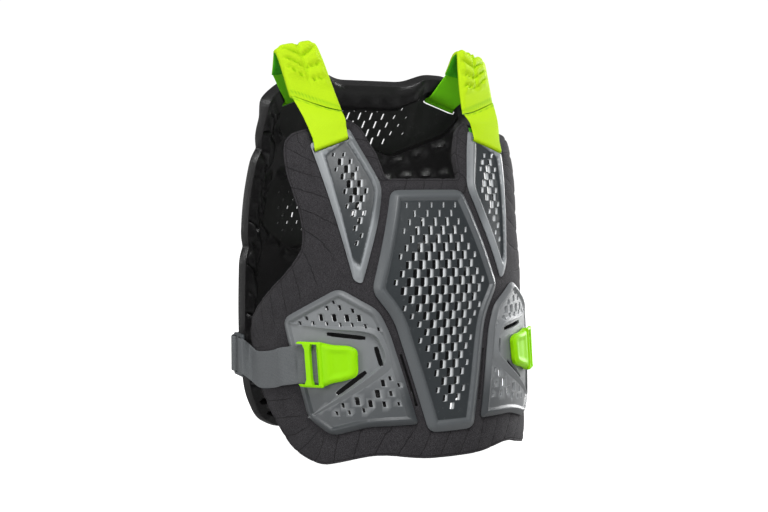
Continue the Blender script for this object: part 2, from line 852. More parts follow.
def settle(piece: Piece, finish: Finish, node: str, degrees: float = 32.0) -> None:
    """Shades and dresses a finished piece, and lets it stand for its node of the model.

    Args:
        piece: The piece.
        finish: What it is dressed in.
        node: The node that it stands for.
        degrees: The angle above which an edge stays sharp.
    """
    activate(piece)
    bpy.ops.object.shade_smooth_by_angle(angle=math.radians(degrees))
    if finish not in MADE:
        MADE[finish] = finish.value.make()
    piece.data.materials.clear()
    piece.data.materials.append(MADE[finish])
    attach(piece, "root")
    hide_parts(node)
    log.info("%s stands for %s with %d faces", piece.name, node, len(piece.data.polygons))


# Plates.

PLATE_SPACING = 5.0


def rim_profile(seat: float, rim: float, rise: float, slope: float) -> list[Place]:
    """A plate's section from its underside, over its sloped rim, to the edge of its field.

    Args:
        seat: The height of the underside.
        rim: The width of the rim.
        rise: How far the rim stands above the field.
        slope: How much of the rim's width is its outer slope.

    Returns:
        Rows of inset and height.
    """
    top = seat + PLATE_THICK + rise
    return [
        (0.9, seat), (0.25, seat + 0.15), (0.0, seat + 0.7), (0.15, seat + 1.3), (0.7, seat + 1.8),
        (0.5 * slope, seat + 1.8 + 0.5 * (top - seat - 1.8)), (0.92 * slope, top - 0.35),
        (slope, top - 0.1), (slope + 0.8, top), (rim - 2.8, top - 0.1), (rim - 2.2, top - 0.45),
        (rim - 0.6, seat + PLATE_THICK + 0.35), (rim, seat + PLATE_THICK + 0.05),
        (rim + 0.9, seat + PLATE_THICK),
    ]


@dataclass(frozen=True)
class Cell:
    """A pierced cell: its middle, width, height, lean and turn in the flat pattern."""

    around: float
    drop: float
    width: float
    height: float
    lean: float = 0.0
    turn: float = 0.0


CELL_OUTLINE = ((0.5, -0.36), (0.36, -0.5), (-0.36, -0.5), (-0.5, -0.36),
                (-0.5, 0.36), (-0.36, 0.5), (0.36, 0.5), (0.5, 0.36))


# The most that a cell's flare and facet come to, as shares of its width.
FLARE_LIMIT = 0.5
FACET_LIMIT = 0.8


def cut_cells(piece: Piece, shell: Shell, cells: Sequence[Cell], seat: float,
              flare: float, thick: float = PLATE_THICK, facet: float = 0.0) -> None:
    """Cuts cells through a laid plate, each wider at its outer face.

    Args:
        piece: The plate, already on its shell.
        shell: The shell that it lies on.
        cells: The cells to cut.
        seat: The height of the plate's underside.
        flare: How much wider a cell is at the outer face.
        thick: The plate's thickness there.
        facet: How much further a cell's wall slopes out towards the wearer's left.
    """
    # Heights above the seat, and how many flares wider the cell is there.
    section = ((-1.2, 0.0), (0.45 * thick, 0.0), (thick + 0.3, 1.0), (thick + 6.0, 1.6))
    model = raise_loops("cell", [
        np.array([(x, y, height) for x, y in CELL_OUTLINE]) for height, _ in section])
    shape = points_of(model)
    heights = np.array([height for height, _ in section])
    grown = np.array([share for _, share in section])
    level = np.abs(shape[:, 2:3] - heights[None, :]).argmin(axis=1)
    placed = []
    for cell in cells:
        grow = min(flare, FLARE_LIMIT * cell.width) * grown[level]
        x = shape[:, 0] * cell.width + np.sign(shape[:, 0]) * grow / 2
        slope = min(facet, FACET_LIMIT * cell.width) * grown[level]
        x = x + np.where(shape[:, 0] > 0, slope, 0.0)
        drop = shape[:, 1] * cell.height + np.sign(shape[:, 1]) * grow / 2
        x = x - cell.lean * drop / max(cell.height, 1.0)
        turn = math.radians(cell.turn)
        placed.append(shell.lay(np.column_stack([
            cell.around + x * math.cos(turn) + drop * math.sin(turn),
            cell.drop - x * math.sin(turn) + drop * math.cos(turn),
            seat + heights[level]])))
    cutter = copies("cells", model, placed)
    write_attribute(cutter, "wall", np.ones(len(cutter.data.vertices)))
    combine(piece, cutter, "DIFFERENCE")


def staggered(left: Callable[[float], float], right: Callable[[float], float], top: float, foot: float,
              pitch: float, row_pitch: float, size: Callable[[float, float, float], Place],
              lean: float = 0.0) -> list[Cell]:
    """Cells in staggered rows over a field.

    Args:
        left: The field's left edge at a drop.
        right: Its right edge at a drop.
        top: The first row's drop.
        foot: The lowest drop of a row.
        pitch: The distance between cells in a row.
        row_pitch: The distance between rows.
        size: Width and height of a cell from its place and its distance to the field's edge.
        lean: How far a cell's top leans to the wearer's left.

    Returns:
        The cells.
    """
    found = []
    for row in range(int((foot - top) / row_pitch) + 1):
        drop = top + row * row_pitch
        shift = pitch / 2 if row % 2 else 0.0
        first = math.ceil((left(drop) - shift) / pitch)
        last = math.floor((right(drop) - shift) / pitch)
        for step in range(first, last + 1):
            around = step * pitch + shift
            edge = min(around - left(drop), right(drop) - around, drop - top, foot - drop)
            width, height = size(around, drop, edge)
            found.append(Cell(around, drop, width, height, lean))
    return found


def rim_share(shell: Shell, piece: Piece, outline: Outline, rim: float) -> Array:
    """How much of a flat plate's rim each vertex belongs to, from 0 to 1."""
    pattern = pattern_of(shell, piece)
    inside = from_edge(pattern[:, :2], [outline.loop()])[:, 1]
    return 1.0 - smooth(rim - 0.8, rim + 0.4, inside)


@dataclass
class CentrePlate:
    """The chest's pierced middle plate with its raised rim."""

    rim: float = 12.0
    rise: float = 3.2
    slope: float = 7.0
    pitch: float = 14.2
    row_pitch: float = 8.5
    cell_width: float = 4.6
    cell_height: float = 9.0
    cell_lean: float = 1.2
    cell_gap: float = 3.5
    flare: float = 0.5
    facet: float = 4.2
    rim_tone: float = 0.25

    def outline(self) -> Outline:
        """The plate's edge."""
        return Outline(symmetric((
            (CENTRE_ROWS[0][1], CENTRE_ROWS[0][0], PLATE_CORNER),
            (CENTRE_ROWS[1][1], CENTRE_ROWS[1][0], PLATE_CORNER),
            (CENTRE_ROWS[2][1], CENTRE_ROWS[2][0], 1.6 * PLATE_CORNER),
            (CENTRE_ROWS[3][1], CENTRE_ROWS[3][0], PLATE_CORNER),
        )))

    def cell_size(self, around: float, drop: float, edge: float) -> Place:
        """A cell's size: small along the field's edge and slender near its top."""
        share = float(smooth(0.0, 22.0, edge)) * 0.75 + 0.25
        low = float(smooth(CENTRE_TOP + 18, CENTRE_TOP + 90, drop))
        return (
            self.cell_width * (0.3 + 0.7 * share) * (0.55 + 0.45 * low),
            self.cell_height * (0.45 + 0.55 * share),
        )

    def build(self) -> None:
        """Raises the plate, lays it on the chest, cuts its cells and dresses it."""
        outline = self.outline()
        plate = flat_solid("centre_plate", FRONT, outline.rise(
            rim_profile(FRONT_SEAT, self.rim, self.rise, self.slope)))
        slice_evenly(plate, PLATE_SPACING)
        write_attribute(plate, "rim", self.rim_tone * rim_share(FRONT, plate, outline, self.rim))
        lay_on(FRONT, plate)

        def edge(drop: float) -> float:
            """Half the field's width at a drop."""
            return centre_edge(drop) - 1.12 * self.rim - self.cell_gap

        cells = staggered(lambda drop: -edge(drop), edge, CENTRE_TOP + 16, CENTRE_FOOT - 18,
                          self.pitch, self.row_pitch, self.cell_size, self.cell_lean)
        cut_cells(plate, FRONT, cells, FRONT_SEAT, self.flare, facet=self.facet)
        settle(plate, Finish.CHEST_PLASTIC, "centre_chest_plate")


@dataclass(frozen=True)
class Bar:
    """The bar that a shoulder's webbing is folded round, on the wearer's left."""

    shell: Shell
    inner: float
    drop: float

    def point(self, along: float, below: float) -> Place:
        """A place along the bar's slope and below its top edge."""
        return self.inner + along * math.cos(BAR_SLOPE), self.drop + along * math.sin(BAR_SLOPE) + below

    def slot(self, side: Side) -> Cell:
        """The webbing's slot below the bar."""
        around, drop = self.point(BAR_LENGTH / 2, BAR_HEIGHT + SLOT_HEIGHT / 2)
        return Cell(around * side.value, drop, WEBBING_WIDTH + 2, SLOT_HEIGHT,
                    turn=-math.degrees(BAR_SLOPE) * side.value)

    def lines(self, path: Sequence[Row], shares: Array, side: Side) -> Lines:
        """The outer and inner lines of webbing on the shell near the bar.

        Args:
            path: Rows of distance below, height, and the outward direction in those two.
            shares: Shares of the webbing's width.
            side: The side that it is on.

        Returns:
            The outer and the inner points, row by row.
        """
        lines = []
        for sign in (0.5, -0.5):
            rows = []
            for below, height, out_below, out_height in path:
                out = sign * WEBBING_THICK
                places = [
                    self.point(WEBBING_START + share * WEBBING_WIDTH, below + out * out_below)
                    for share in shares]
                rows.append(self.shell.lay(np.array([
                    (around * side.value, drop, height + out * out_height)
                    for around, drop in places])) / MM)
            lines.append(np.array(rows))
        return lines[0], lines[1]


FRONT_BAR = Bar(FRONT, 72.0, 87.0)
BACK_BAR = Bar(BACK, 73.0, 38.0)


@dataclass
class UpperPlate:
    """A pierced plate below a shoulder, with the bar that its webbing is folded round."""

    side: Side
    rim: float = 9.0
    rise: float = 2.8
    slope: float = 5.0
    tip_width: float = 8.0
    pitch: float = 10.5
    row_pitch: float = 7.4
    cell_lean: float = 1.6
    flare: float = 0.4
    facet: float = 3.0

    def corners(self, inset: float) -> tuple[Corner, ...]:
        """The plate's corners, or its field's where the inset is its rim."""
        inner_top = CENTRE_TOP - 4
        inner = centre_edge(CENTRE_TOP) + PLATE_GAP
        tip_drop = CENTRE_ROWS[1][0] - 7
        tip = centre_edge(tip_drop) + PLATE_GAP + 3
        x0, d0 = FRONT_BAR.point(0, 0)
        x1, d1 = FRONT_BAR.point(BAR_LENGTH, 0)
        lift = BAR_HEIGHT + SLOT_HEIGHT + 3 if inset else 0.0
        return (
            (x0 + 0.8 * inset, d0 + lift, 3.0),
            (inner + inset, inner_top + 0.2 * inset, PLATE_CORNER),
            (centre_edge(CENTRE_TOP + 28) + PLATE_GAP + inset, CENTRE_TOP + 28, PLATE_CORNER),
            (tip + 0.1 * inset, tip_drop - 2.1 * inset, 4.0),
            (tip + self.tip_width - 0.15 * inset, tip_drop - 4 - 2.5 * inset, 4.0),
            (x1 - 1.5 * inset, d1 + lift, 4.0),
        )

    def build(self) -> None:
        """Raises the plate between its edge and its field, and pierces and dresses it."""
        outer = Outline(self.side.own(self.corners(0.0)))
        inner = Outline(self.side.own(self.corners(self.rim)), like=outer)
        edge, field_edge = outer.loop(), inner.loop()
        loops = []
        for inset, height in rim_profile(FRONT_SEAT, self.rim, self.rise, self.slope):
            share = inset / self.rim
            loops.append(np.column_stack(
                [edge * (1 - share) + field_edge * share, np.full(len(edge), height)]))
        plate = flat_solid(f"upper_plate_{self.side.word}", FRONT, loops)
        slice_evenly(plate, PLATE_SPACING)
        pattern = pattern_of(FRONT, plate)
        to_edge = from_edge(pattern[:, :2], [edge])[:, 1]
        to_field = from_edge(pattern[:, :2], [field_edge])[:, 1]
        share = to_field / np.maximum(to_edge + to_field, 0.01)
        raised = smooth(PLATE_THICK + 0.2, PLATE_THICK + 0.8, pattern[:, 2] - FRONT_SEAT)
        reach = np.abs(pattern[:, 0]) - centre_edge(CENTRE_TOP) - 0.5 * (FRONT_BAR.inner - 10)
        tone = 0.5 + 0.5 * smooth(-4.0, 12.0, reach + 0.4 * (pattern[:, 1] - FRONT_BAR.drop - 60))
        write_attribute(plate, "rim", tone * np.maximum(raised, smooth(0.5, 0.9, share)))
        under = FRONT_SEAT + PLATE_THICK + (1.0 - bar_share(pattern, self.side)) * self.rise
        pattern[:, 2] = np.minimum(pattern[:, 2], under)
        move_points(plate, flat_axes(FRONT, [pattern])[0])
        lay_on(FRONT, plate)
        cut_cells(plate, FRONT, self.cells(), FRONT_SEAT, self.flare, facet=self.facet)
        cut_cells(plate, FRONT, [FRONT_BAR.slot(self.side)], FRONT_SEAT, 0.6, PLATE_THICK + self.rise)
        settle(plate, Finish.CHEST_PLASTIC, f"upper_chest_plate_{self.side.word}")

    def cells(self) -> list[Cell]:
        """The plate's pierced cells."""
        field_corners = self.corners(self.rim)
        inner = [(field_corners[k][1], field_corners[k][0]) for k in (0, 1, 2, 3)]
        outer = [(field_corners[k][1], field_corners[k][0]) for k in (5, 4)]
        top, foot = field_corners[5][1] - 2, field_corners[3][1] - 8

        def size(around: float, drop: float, edge: float) -> Place:
            """Small along the edge and larger inside."""
            share = float(smooth(0.0, 11.0, edge))
            return 2.0 + 2.2 * share, 4.6 + 3.8 * share

        found = staggered(lambda drop: edge_at(inner, drop) + 5.0, lambda drop: edge_at(outer, drop) - 4.5,
                          top, foot, self.pitch, self.row_pitch, size, self.cell_lean)
        return [replace(cell, around=cell.around * self.side.value) for cell in found]


@dataclass
class RibPlate:
    """A rib plate: its border, the ridge round the hook's place, slots and cells."""

    side: Side
    top: float = 249.0
    height: float = 151.0
    border: float = 9.0
    rise: float = 2.2
    ridge_rise: float = 4.2
    cell_share: float = 0.55
    cell_lean: float = 0.8
    flare: float = 1.6
    facet: float = 1.6

    RIDGE = ((0.95, 0.245, 1.0, 0.3), (0.70, 0.270, 3.0, 0.6), (0.455, 0.295, 6.0, 1.0),
             (0.385, 0.40, 7.5, 1.0), (0.375, 0.50, 8.0, 1.0), (0.44, 0.575, 7.5, 1.0),
             (0.60, 0.70, 5.0, 0.8), (0.86, 0.885, 1.0, 0.3))
    SLOTS = ((0.60, 0.325, 38.0, 4.5, 6.0), (0.418, 0.462, 20.0, 4.5, 78.0),
             (0.587, 0.640, 38.0, 4.5, -37.0))
    CELLS = (
        (0.878, 0.247, 3.6), (0.833, 0.212, 4), (0.793, 0.242, 4), (0.743, 0.202, 7),
        (0.703, 0.137, 4.4), (0.663, 0.202, 7.6), (0.663, 0.097, 3.4), (0.628, 0.132, 5),
        (0.588, 0.202, 7.2), (0.553, 0.152, 4.4), (0.518, 0.202, 6.4), (0.483, 0.257, 4.2),
        (0.408, 0.277, 3.6), (0.708, 0.242, 3.8), (0.628, 0.247, 3.8), (0.558, 0.247, 3.8),
        (0.683, 0.845, 4.2), (0.608, 0.835, 4.2), (0.523, 0.82, 4.4), (0.643, 0.79, 5),
        (0.558, 0.76, 8), (0.483, 0.775, 7.2), (0.438, 0.71, 8), (0.403, 0.64, 6.6), (0.403, 0.78, 5.6),
        (0.361, 0.71, 5), (0.361, 0.61, 4.2), (0.313, 0.655, 3.6), (0.319, 0.78, 3.6),
    )

    def down(self, share: float) -> float:
        """The drop at a share of the plate's height."""
        return self.top + share * self.height

    def outline(self) -> Outline:
        """The plate's edge, next to the centre plate's."""
        def inner(share: float) -> float:
            """The inner edge at a share of the height."""
            return centre_edge(self.down(share)) + PLATE_GAP

        corners = (
            (RIB_OUTER, self.down(0.225), PLATE_CORNER), (0.63 * RIB_OUTER, self.top, PLATE_CORNER),
            (inner(0.15), self.down(0.15), PLATE_CORNER), (inner(0.3), self.down(0.3), PLATE_CORNER),
            (inner(0.92), self.down(0.92), 4.0), (0.5 * RIB_OUTER, self.down(0.93), PLATE_CORNER),
            (0.72 * RIB_OUTER, self.down(1.0), PLATE_CORNER),
            (0.87 * RIB_OUTER, self.down(0.89), PLATE_CORNER),
        )
        return Outline(self.side.own(corners))

    def ridge(self) -> Piece:
        """The ridge round the hook's place, tapered to a point at both ends."""
        rows = np.array(self.RIDGE)
        rows[:, 0] *= RIB_OUTER * self.side.value
        rows[:, 1] = self.down(rows[:, 1])
        fine = through(rows, np.linspace(0, len(rows) - 1, 44))
        ahead = np.gradient(fine[:, :2], axis=0)
        ahead /= np.linalg.norm(ahead, axis=1, keepdims=True)
        aside = np.column_stack([-ahead[:, 1], ahead[:, 0]]) * self.side.value
        loops = []
        for middle, sideways, (width, height) in zip(fine[:, :2], aside, fine[:, 2:]):
            top = FRONT_SEAT + PLATE_THICK + height * self.ridge_rise
            outer, inner = middle + sideways * width * 0.75, middle - sideways * width * 0.5
            crest = middle - sideways * width * 0.12
            loops.append(np.array([
                (*outer, FRONT_SEAT + 1.2), (*outer, FRONT_SEAT + PLATE_THICK), (*crest, top),
                (*(crest - sideways * 0.6), top), (*inner, FRONT_SEAT + PLATE_THICK),
                (*inner, FRONT_SEAT + 1.2)]))
        return flat_solid("ridge", FRONT, loops)

    def build(self) -> None:
        """Raises the plate and its ridge, joins, pierces and dresses them."""
        outline = self.outline()
        plate = flat_solid(f"rib_panel_{self.side.word}", FRONT, outline.rise(
            rim_profile(FRONT_SEAT, self.border, self.rise, 4.5)))
        slice_evenly(plate, PLATE_SPACING)
        low = smooth(self.down(0.5), self.down(0.8), pattern_of(FRONT, plate)[:, 1])
        border = rim_share(FRONT, plate, outline, self.border)
        write_attribute(plate, "rim", np.maximum((0.3 + 0.6 * low) * border, 0.7 * low))
        lay_on(FRONT, plate)
        ridge = self.ridge()
        lay_on(FRONT, ridge)
        combine(plate, ridge, "UNION")
        side = self.side.value
        cells = [
            Cell(around * RIB_OUTER * side, self.down(down), self.cell_share * height, height,
                 self.cell_lean * side)
            for around, down, height in self.CELLS
        ]
        cut_cells(plate, FRONT, cells, FRONT_SEAT, self.flare, facet=self.facet)
        slots = [
            Cell(around * RIB_OUTER * side, self.down(down), length, width, 0.0, turn * side)
            for around, down, length, width, turn in self.SLOTS
        ]
        cut_cells(plate, FRONT, slots, FRONT_SEAT, 0.8, PLATE_THICK + 2.0)
        settle(plate, Finish.RIB_PLASTIC, f"rib_plate_{self.side.word}", 28.0)


BACK_NECK_DROP = 29.0
BACK_NECK_HALF = 66.0
BACK_TOP_OUTER = 122.0
BACK_HEM_DROP = 429.0
WINDOW_DROP = 52.0
WINDOW_HALF = 120.0
WINDOW_HEIGHT = 59.0
LOW_WINDOW_DROP = 136.0
LOW_WINDOW_HALF = 132.0
LOW_WINDOW_HEIGHT = 88.0
PLATE_LAP = 9.0
SPINE_DROP = 345.0
NOTCH_DROPS = (104.0, 213.0)


def upper_window(grow: float) -> tuple[Corner, ...]:
    """The back liner's upper window, grown on every side for the plate over it."""
    return symmetric((
        (0.32 * WINDOW_HALF, WINDOW_DROP + 5 - grow, 5.0), (0.5 * WINDOW_HALF, WINDOW_DROP - 9 - grow, 5.0),
        (0.62 * WINDOW_HALF, BACK_BAR.drop - 6 - 0.6 * grow, 5.0),
        (0.93 * WINDOW_HALF, BACK_BAR.drop + 10 - 0.6 * grow, 6.0),
        (WINDOW_HALF + grow, BACK_BAR.drop + 26, 8.0),
        (0.9 * WINDOW_HALF + grow, WINDOW_DROP + 0.58 * WINDOW_HEIGHT + 0.4 * grow, 8.0),
        (0.38 * WINDOW_HALF, WINDOW_DROP + WINDOW_HEIGHT + grow, 8.0),
        (0.12 * WINDOW_HALF, WINDOW_DROP + 0.8 * WINDOW_HEIGHT + grow, 8.0),
    ))


def lower_window(grow: float) -> tuple[Corner, ...]:
    """The back liner's lower window, grown on every side for the plate over it."""
    return symmetric((
        (0.3 * LOW_WINDOW_HALF, LOW_WINDOW_DROP + 8 - grow, 8.0),
        (0.9 * LOW_WINDOW_HALF + 0.6 * grow, LOW_WINDOW_DROP - 0.8 * grow, 9.0),
        (LOW_WINDOW_HALF + grow, LOW_WINDOW_DROP + 0.6 * LOW_WINDOW_HEIGHT, 9.0),
        (0.62 * LOW_WINDOW_HALF + 0.4 * grow, LOW_WINDOW_DROP + 0.96 * LOW_WINDOW_HEIGHT + grow, 10.0),
        (0.2 * LOW_WINDOW_HALF, LOW_WINDOW_DROP + 0.82 * LOW_WINDOW_HEIGHT + grow, 10.0),
    ))


@dataclass
class UpperBackPlate:
    """The plate between the shoulder blades, pierced at its middle and slotted for webbing."""

    pitch: float = 14.8
    row_pitch: float = 9.2
    crease: float = 3.0

    def build(self) -> None:
        """Raises the plate, folds its creases, pierces and dresses it."""
        outline = Outline(upper_window(PLATE_LAP))
        plate = flat_solid("upper_back_panel", BACK, outline.rise((
            (0.8, BACK_SEAT), (0.0, BACK_SEAT + 0.8), (0.0, BACK_SEAT + 1.9),
            (0.8, BACK_SEAT + PLATE_THICK))))
        slice_evenly(plate, 4.0)
        pattern = pattern_of(BACK, plate)
        fold = hump(np.abs(pattern[:, 0]) - 0.585 * WINDOW_HALF, self.crease)
        fold *= 1.0 - smooth(WINDOW_DROP + 40, WINDOW_DROP + 60, pattern[:, 1])
        edge = smooth(0.0, 12.0, from_edge(pattern[:, :2], [outline.loop()])[:, 1])
        pattern[:, 2] += 1.8 * fold * edge
        move_points(plate, flat_axes(BACK, [pattern])[0])
        write_attribute(plate, "rim", 1.0 - edge)
        lay_on(BACK, plate)
        half = 0.54 * WINDOW_HALF

        def size(around: float, drop: float, edge_gap: float) -> Place:
            """Slender, and small towards the sides."""
            share = 1.0 - float(smooth(18.0, half, abs(around)))
            return 1.6 + 1.0 * share, 2.4 + 6.0 * share

        def foot(around: float) -> float:
            """Where the field ends below."""
            return WINDOW_DROP + WINDOW_HEIGHT - 0.26 * abs(around)

        cells = [
            cell for cell in staggered(lambda drop: -half, lambda drop: half, WINDOW_DROP - 2,
                                       WINDOW_DROP + WINDOW_HEIGHT - 2, self.pitch, self.row_pitch,
                                       size, 1.5)
            if cell.drop < foot(cell.around) - 4
        ]
        cut_cells(plate, BACK, cells, BACK_SEAT, 0.8)
        cut_cells(plate, BACK, [BACK_BAR.slot(side) for side in Side], BACK_SEAT, 0.6)
        settle(plate, Finish.BACK_PLASTIC, "upper_back_plate")


@dataclass
class LowerBackPlate:
    """The spine plate: a pierced upper field and a smooth tail, with a raised rim."""

    rim: float = 10.0
    rise: float = 3.0
    pitch: float = 13.4
    row_pitch: float = 8.8

    def build(self) -> None:
        """Raises the plate, pierces it and dresses it."""
        outline = Outline(symmetric((
            *lower_window(PLATE_LAP)[:3],
            (0.8 * LOW_WINDOW_HALF, LOW_WINDOW_DROP + LOW_WINDOW_HEIGHT + 12, 12.0),
            (0.45 * LOW_WINDOW_HALF, SPINE_DROP - 14, 12.0), (0.25 * LOW_WINDOW_HALF, SPINE_DROP, 12.0),
        )))
        plate = flat_solid("spine_panel", BACK, outline.rise(
            rim_profile(BACK_SEAT, self.rim, self.rise, 5.0)))
        slice_evenly(plate, PLATE_SPACING)
        write_attribute(plate, "rim", rim_share(BACK, plate, outline, self.rim))
        lay_on(BACK, plate)
        reach = 0.76 * LOW_WINDOW_HALF

        def size(around: float, drop: float, edge: float) -> Place:
            """Small along the field's edge."""
            share = float(smooth(4.0, 44.0, edge))
            return 1.5 + 1.9 * share, 2.4 + 5.6 * share

        def half(drop: float) -> float:
            """Half the pierced field's width at a drop."""
            return reach * (1.0 - 0.55 * float(smooth(LOW_WINDOW_DROP + 40, LOW_WINDOW_DROP + 190, drop)))

        cells = staggered(lambda drop: -half(drop), half, LOW_WINDOW_DROP + 18,
                          LOW_WINDOW_DROP + 0.8 * LOW_WINDOW_HEIGHT, self.pitch, self.row_pitch, size, 1.0)
        cut_cells(plate, BACK, cells, BACK_SEAT, 1.2)
        settle(plate, Finish.BACK_PLASTIC, "lower_back_plate")


# Liners.


def padded_blank(name: str, shell: Shell, outline: Outline, windows: Sequence[Outline], thick: float,
                 spacing: float, round_off: float) -> Piece:
    """A flat foam sheet with rounded edges and windows, sliced and refined.

    Args:
        name: The piece's name.
        shell: The shell that it will lie on.
        outline: Its edge.
        windows: Its windows' edges.
        thick: Its thickness.
        spacing: The distance between its slices.
        round_off: The radius of its rounded edges.

    Returns:
        The flat sheet, in millimetres.
    """
    blank = flat_solid(name, shell, outline.rise(((0.0, 0.0), (0.0, thick))))
    for window in windows:
        combine(blank, flat_solid("window", shell, window.rise(((0.0, -2.0), (0.0, thick + 2.0)))),
                "DIFFERENCE")
    activate(blank)
    rounding = blank.modifiers.new("rounding", "BEVEL")
    rounding.width = round_off
    rounding.segments = 3
    rounding.limit_method = "ANGLE"
    rounding.angle_limit = math.radians(60)
    rounding.use_clamp_overlap = True
    bpy.ops.object.modifier_apply(modifier=rounding.name)
    slice_evenly(blank, spacing)
    return blank


@dataclass
class FrontLiner:
    """The chest's cloth-covered foam, with windows behind the pierced fields."""

    slit: float = 3.0
    spacing: float = 4.0
    crease_pitch: float = 21.5
    crease_lean: float = 0.55
    crease_width: float = 2.2
    crease_depth: float = 0.8
    puff_rise: float = 0.7
    seam_inset: float = 4.2
    seam_depth: float = 0.5
    free_rise: float = 20.0
    plate_room: float = 0.2
    lowest: float = -1.0

    def outline(self) -> Outline:
        """The liner's edge."""
        hem = CENTRE_FOOT + HEM_MARGIN
        return Outline(symmetric((
            (NECK_HALF_WIDTH, NECK_DROP - 1, 5.0), (1.06 * NECK_HALF_WIDTH, NECK_DROP - 26, 6.0),
            (1.33 * NECK_HALF_WIDTH, SHOULDER_DROP + 1, 8.0), (FRONT_BAR.inner - 3, SHOULDER_DROP - 8, 5.0),
            (0.6 * (FRONT_BAR.inner + SHOULDER_OUTER), SHOULDER_DROP + 6, 5.0),
            (0.97 * SHOULDER_OUTER, SHOULDER_DROP + 16, 9.0), (SHOULDER_OUTER, SHOULDER_DROP + 45, 16.0),
            (ARMHOLE_INNER, ARMHOLE_DROP - 22, 18.0), (1.01 * ARMHOLE_INNER, ARMHOLE_DROP + 8, 14.0),
            (1.16 * ARMHOLE_INNER, ARMHOLE_DROP + 32, 16.0), (0.985 * SIDE_REACH, 0.66 * hem + 12, 16.0),
            (SIDE_REACH, 0.66 * hem + 38, 12.0), (0.86 * SIDE_REACH, 0.88 * hem, 14.0),
            (0.7 * SIDE_REACH, hem - 5, 16.0), (0.56 * SIDE_REACH, hem + 7, 12.0),
            (0.32 * SIDE_REACH, hem - 8, 18.0), (0.13 * SIDE_REACH, hem - 2, 12.0),
        )))

    def windows(self) -> list[Outline]:
        """The windows behind the pierced fields, and the slits beside the centre plate."""
        centre_rim = CentrePlate().rim
        found = [Outline(symmetric((
            (CENTRE_ROWS[0][1] - centre_rim, CENTRE_TOP + centre_rim, 4.0),
            (CENTRE_ROWS[1][1] - 1.3 * centre_rim, CENTRE_ROWS[1][0], 4.0),
            (CENTRE_ROWS[2][1] - 1.3 * centre_rim, CENTRE_ROWS[2][0], 6.0),
            (CENTRE_ROWS[3][1] - centre_rim, CENTRE_FOOT - centre_rim, 4.0),
        )))]
        upper = UpperPlate(Side.LEFT)
        corners = upper.corners(upper.rim)
        rib = RibPlate(Side.LEFT)

        def rib_inner(share: float) -> float:
            """The rib window's inner edge."""
            return centre_edge(rib.down(share)) + PLATE_GAP + rib.border

        def slit_at(share: float, offset: float) -> Corner:
            """A corner of the slit."""
            return centre_edge(rib.down(share)) + PLATE_GAP / 2 + offset, rib.down(share), 1.0

        sides = (
            ((corners[0][0] + 2, corners[0][1] + 10, 3.0), *corners[1:5],
             (corners[5][0] - 2, corners[5][1] + 2, 3.0)),
            ((0.86 * RIB_OUTER, rib.down(0.24), 4.0), (0.64 * RIB_OUTER, rib.down(0.09), 4.0),
             (rib_inner(0.2), rib.down(0.22), 4.0), (rib_inner(0.5), rib.down(0.5), 4.0),
             (rib_inner(0.85), rib.down(0.86), 4.0), (0.74 * RIB_OUTER, rib.down(0.89), 4.0),
             (0.74 * RIB_OUTER, rib.down(0.7), 4.0)),
            (slit_at(0.45, self.slit / 2), slit_at(0.45, -self.slit / 2),
             slit_at(0.8, -self.slit / 2), slit_at(0.8, self.slit / 2)),
        )
        for corners in sides:
            found += [Outline(side.own(corners)) for side in (Side.LEFT, Side.RIGHT)]
        return found

    def build(self) -> None:
        """Cuts, rounds and creases the sheet, sinks the webbing's pockets, and dresses it."""
        outline = self.outline()
        liner = padded_blank("chest_liner", FRONT, outline, self.windows(), FRONT_FOAM, self.spacing, 2.2)
        pattern = pattern_of(FRONT, liner)
        along, inside = from_edge(pattern[:, :2], [outline.loop()]).T
        outward = pattern[:, 2] / FRONT_FOAM
        leant = along + self.crease_lean * inside
        apart = wave(leant / self.crease_pitch) * self.crease_pitch / 2
        groove = hump(apart, self.crease_width) * (1.0 - smooth(24.0, 40.0, inside))
        puff = smooth(1.0, 9.0, inside) * (1.0 - smooth(14.0, 34.0, inside))
        seam = hump(inside - self.seam_inset, 1.2)
        change = self.puff_rise * puff - self.crease_depth * groove - self.seam_depth * seam
        pattern[:, 2] += change * np.where(outward > 0.5, 1.0, -1.0)
        floor = FRONT_SEAT - 2 * CLOTH_GAP - WEBBING_THICK
        for side in Side:
            seat = floor + (1 - bar_share(pattern, side)) * self.free_rise
            pattern[:, 2] = np.where(outward > 0.5, np.minimum(pattern[:, 2], seat), pattern[:, 2])
        covered = self.under_plates(pattern)
        under = np.minimum(pattern[:, 2], FRONT_FOAM - self.plate_room)
        pattern[:, 2] = np.where((outward > 0.5) & covered, under, pattern[:, 2])
        pattern[:, 2] = np.maximum(pattern[:, 2], self.lowest)
        move_points(liner, flat_axes(FRONT, [pattern])[0])
        write_weave(liner, "edge", np.column_stack([along, inside]))
        lay_on(FRONT, liner)
        settle(liner, Finish.LINER, "front_liner", 60.0)

    def under_plates(self, pattern: Array) -> Array:
        """Which places lie under a plate or close beside it."""
        loops = [CentrePlate().outline().loop(-1.5)]
        for side in Side:
            loops.append(RibPlate(side).outline().loop(-1.5))
            loops.append(Outline(side.own(UpperPlate(side).corners(0.0))).loop(-1.5))
        covered = np.zeros(len(pattern), bool)
        for loop in loops:
            covered |= within(loop, pattern[:, :2])
        return covered


def within(loop: Array, places: Array) -> Array:
    """Which places lie inside a closed loop.

    Args:
        loop: Rows of around and drop.
        places: Rows of around and drop.

    Returns:
        True for each place inside.
    """
    found = np.zeros(len(places), bool)
    for (x0, y0), (x1, y1) in zip(loop, np.roll(loop, -1, axis=0)):
        crosses = (y0 > places[:, 1]) != (y1 > places[:, 1])
        with np.errstate(divide="ignore", invalid="ignore"):
            at = x0 + (places[:, 1] - y0) * (x1 - x0) / (y1 - y0)
        found ^= crosses & (places[:, 0] < at)
    return found


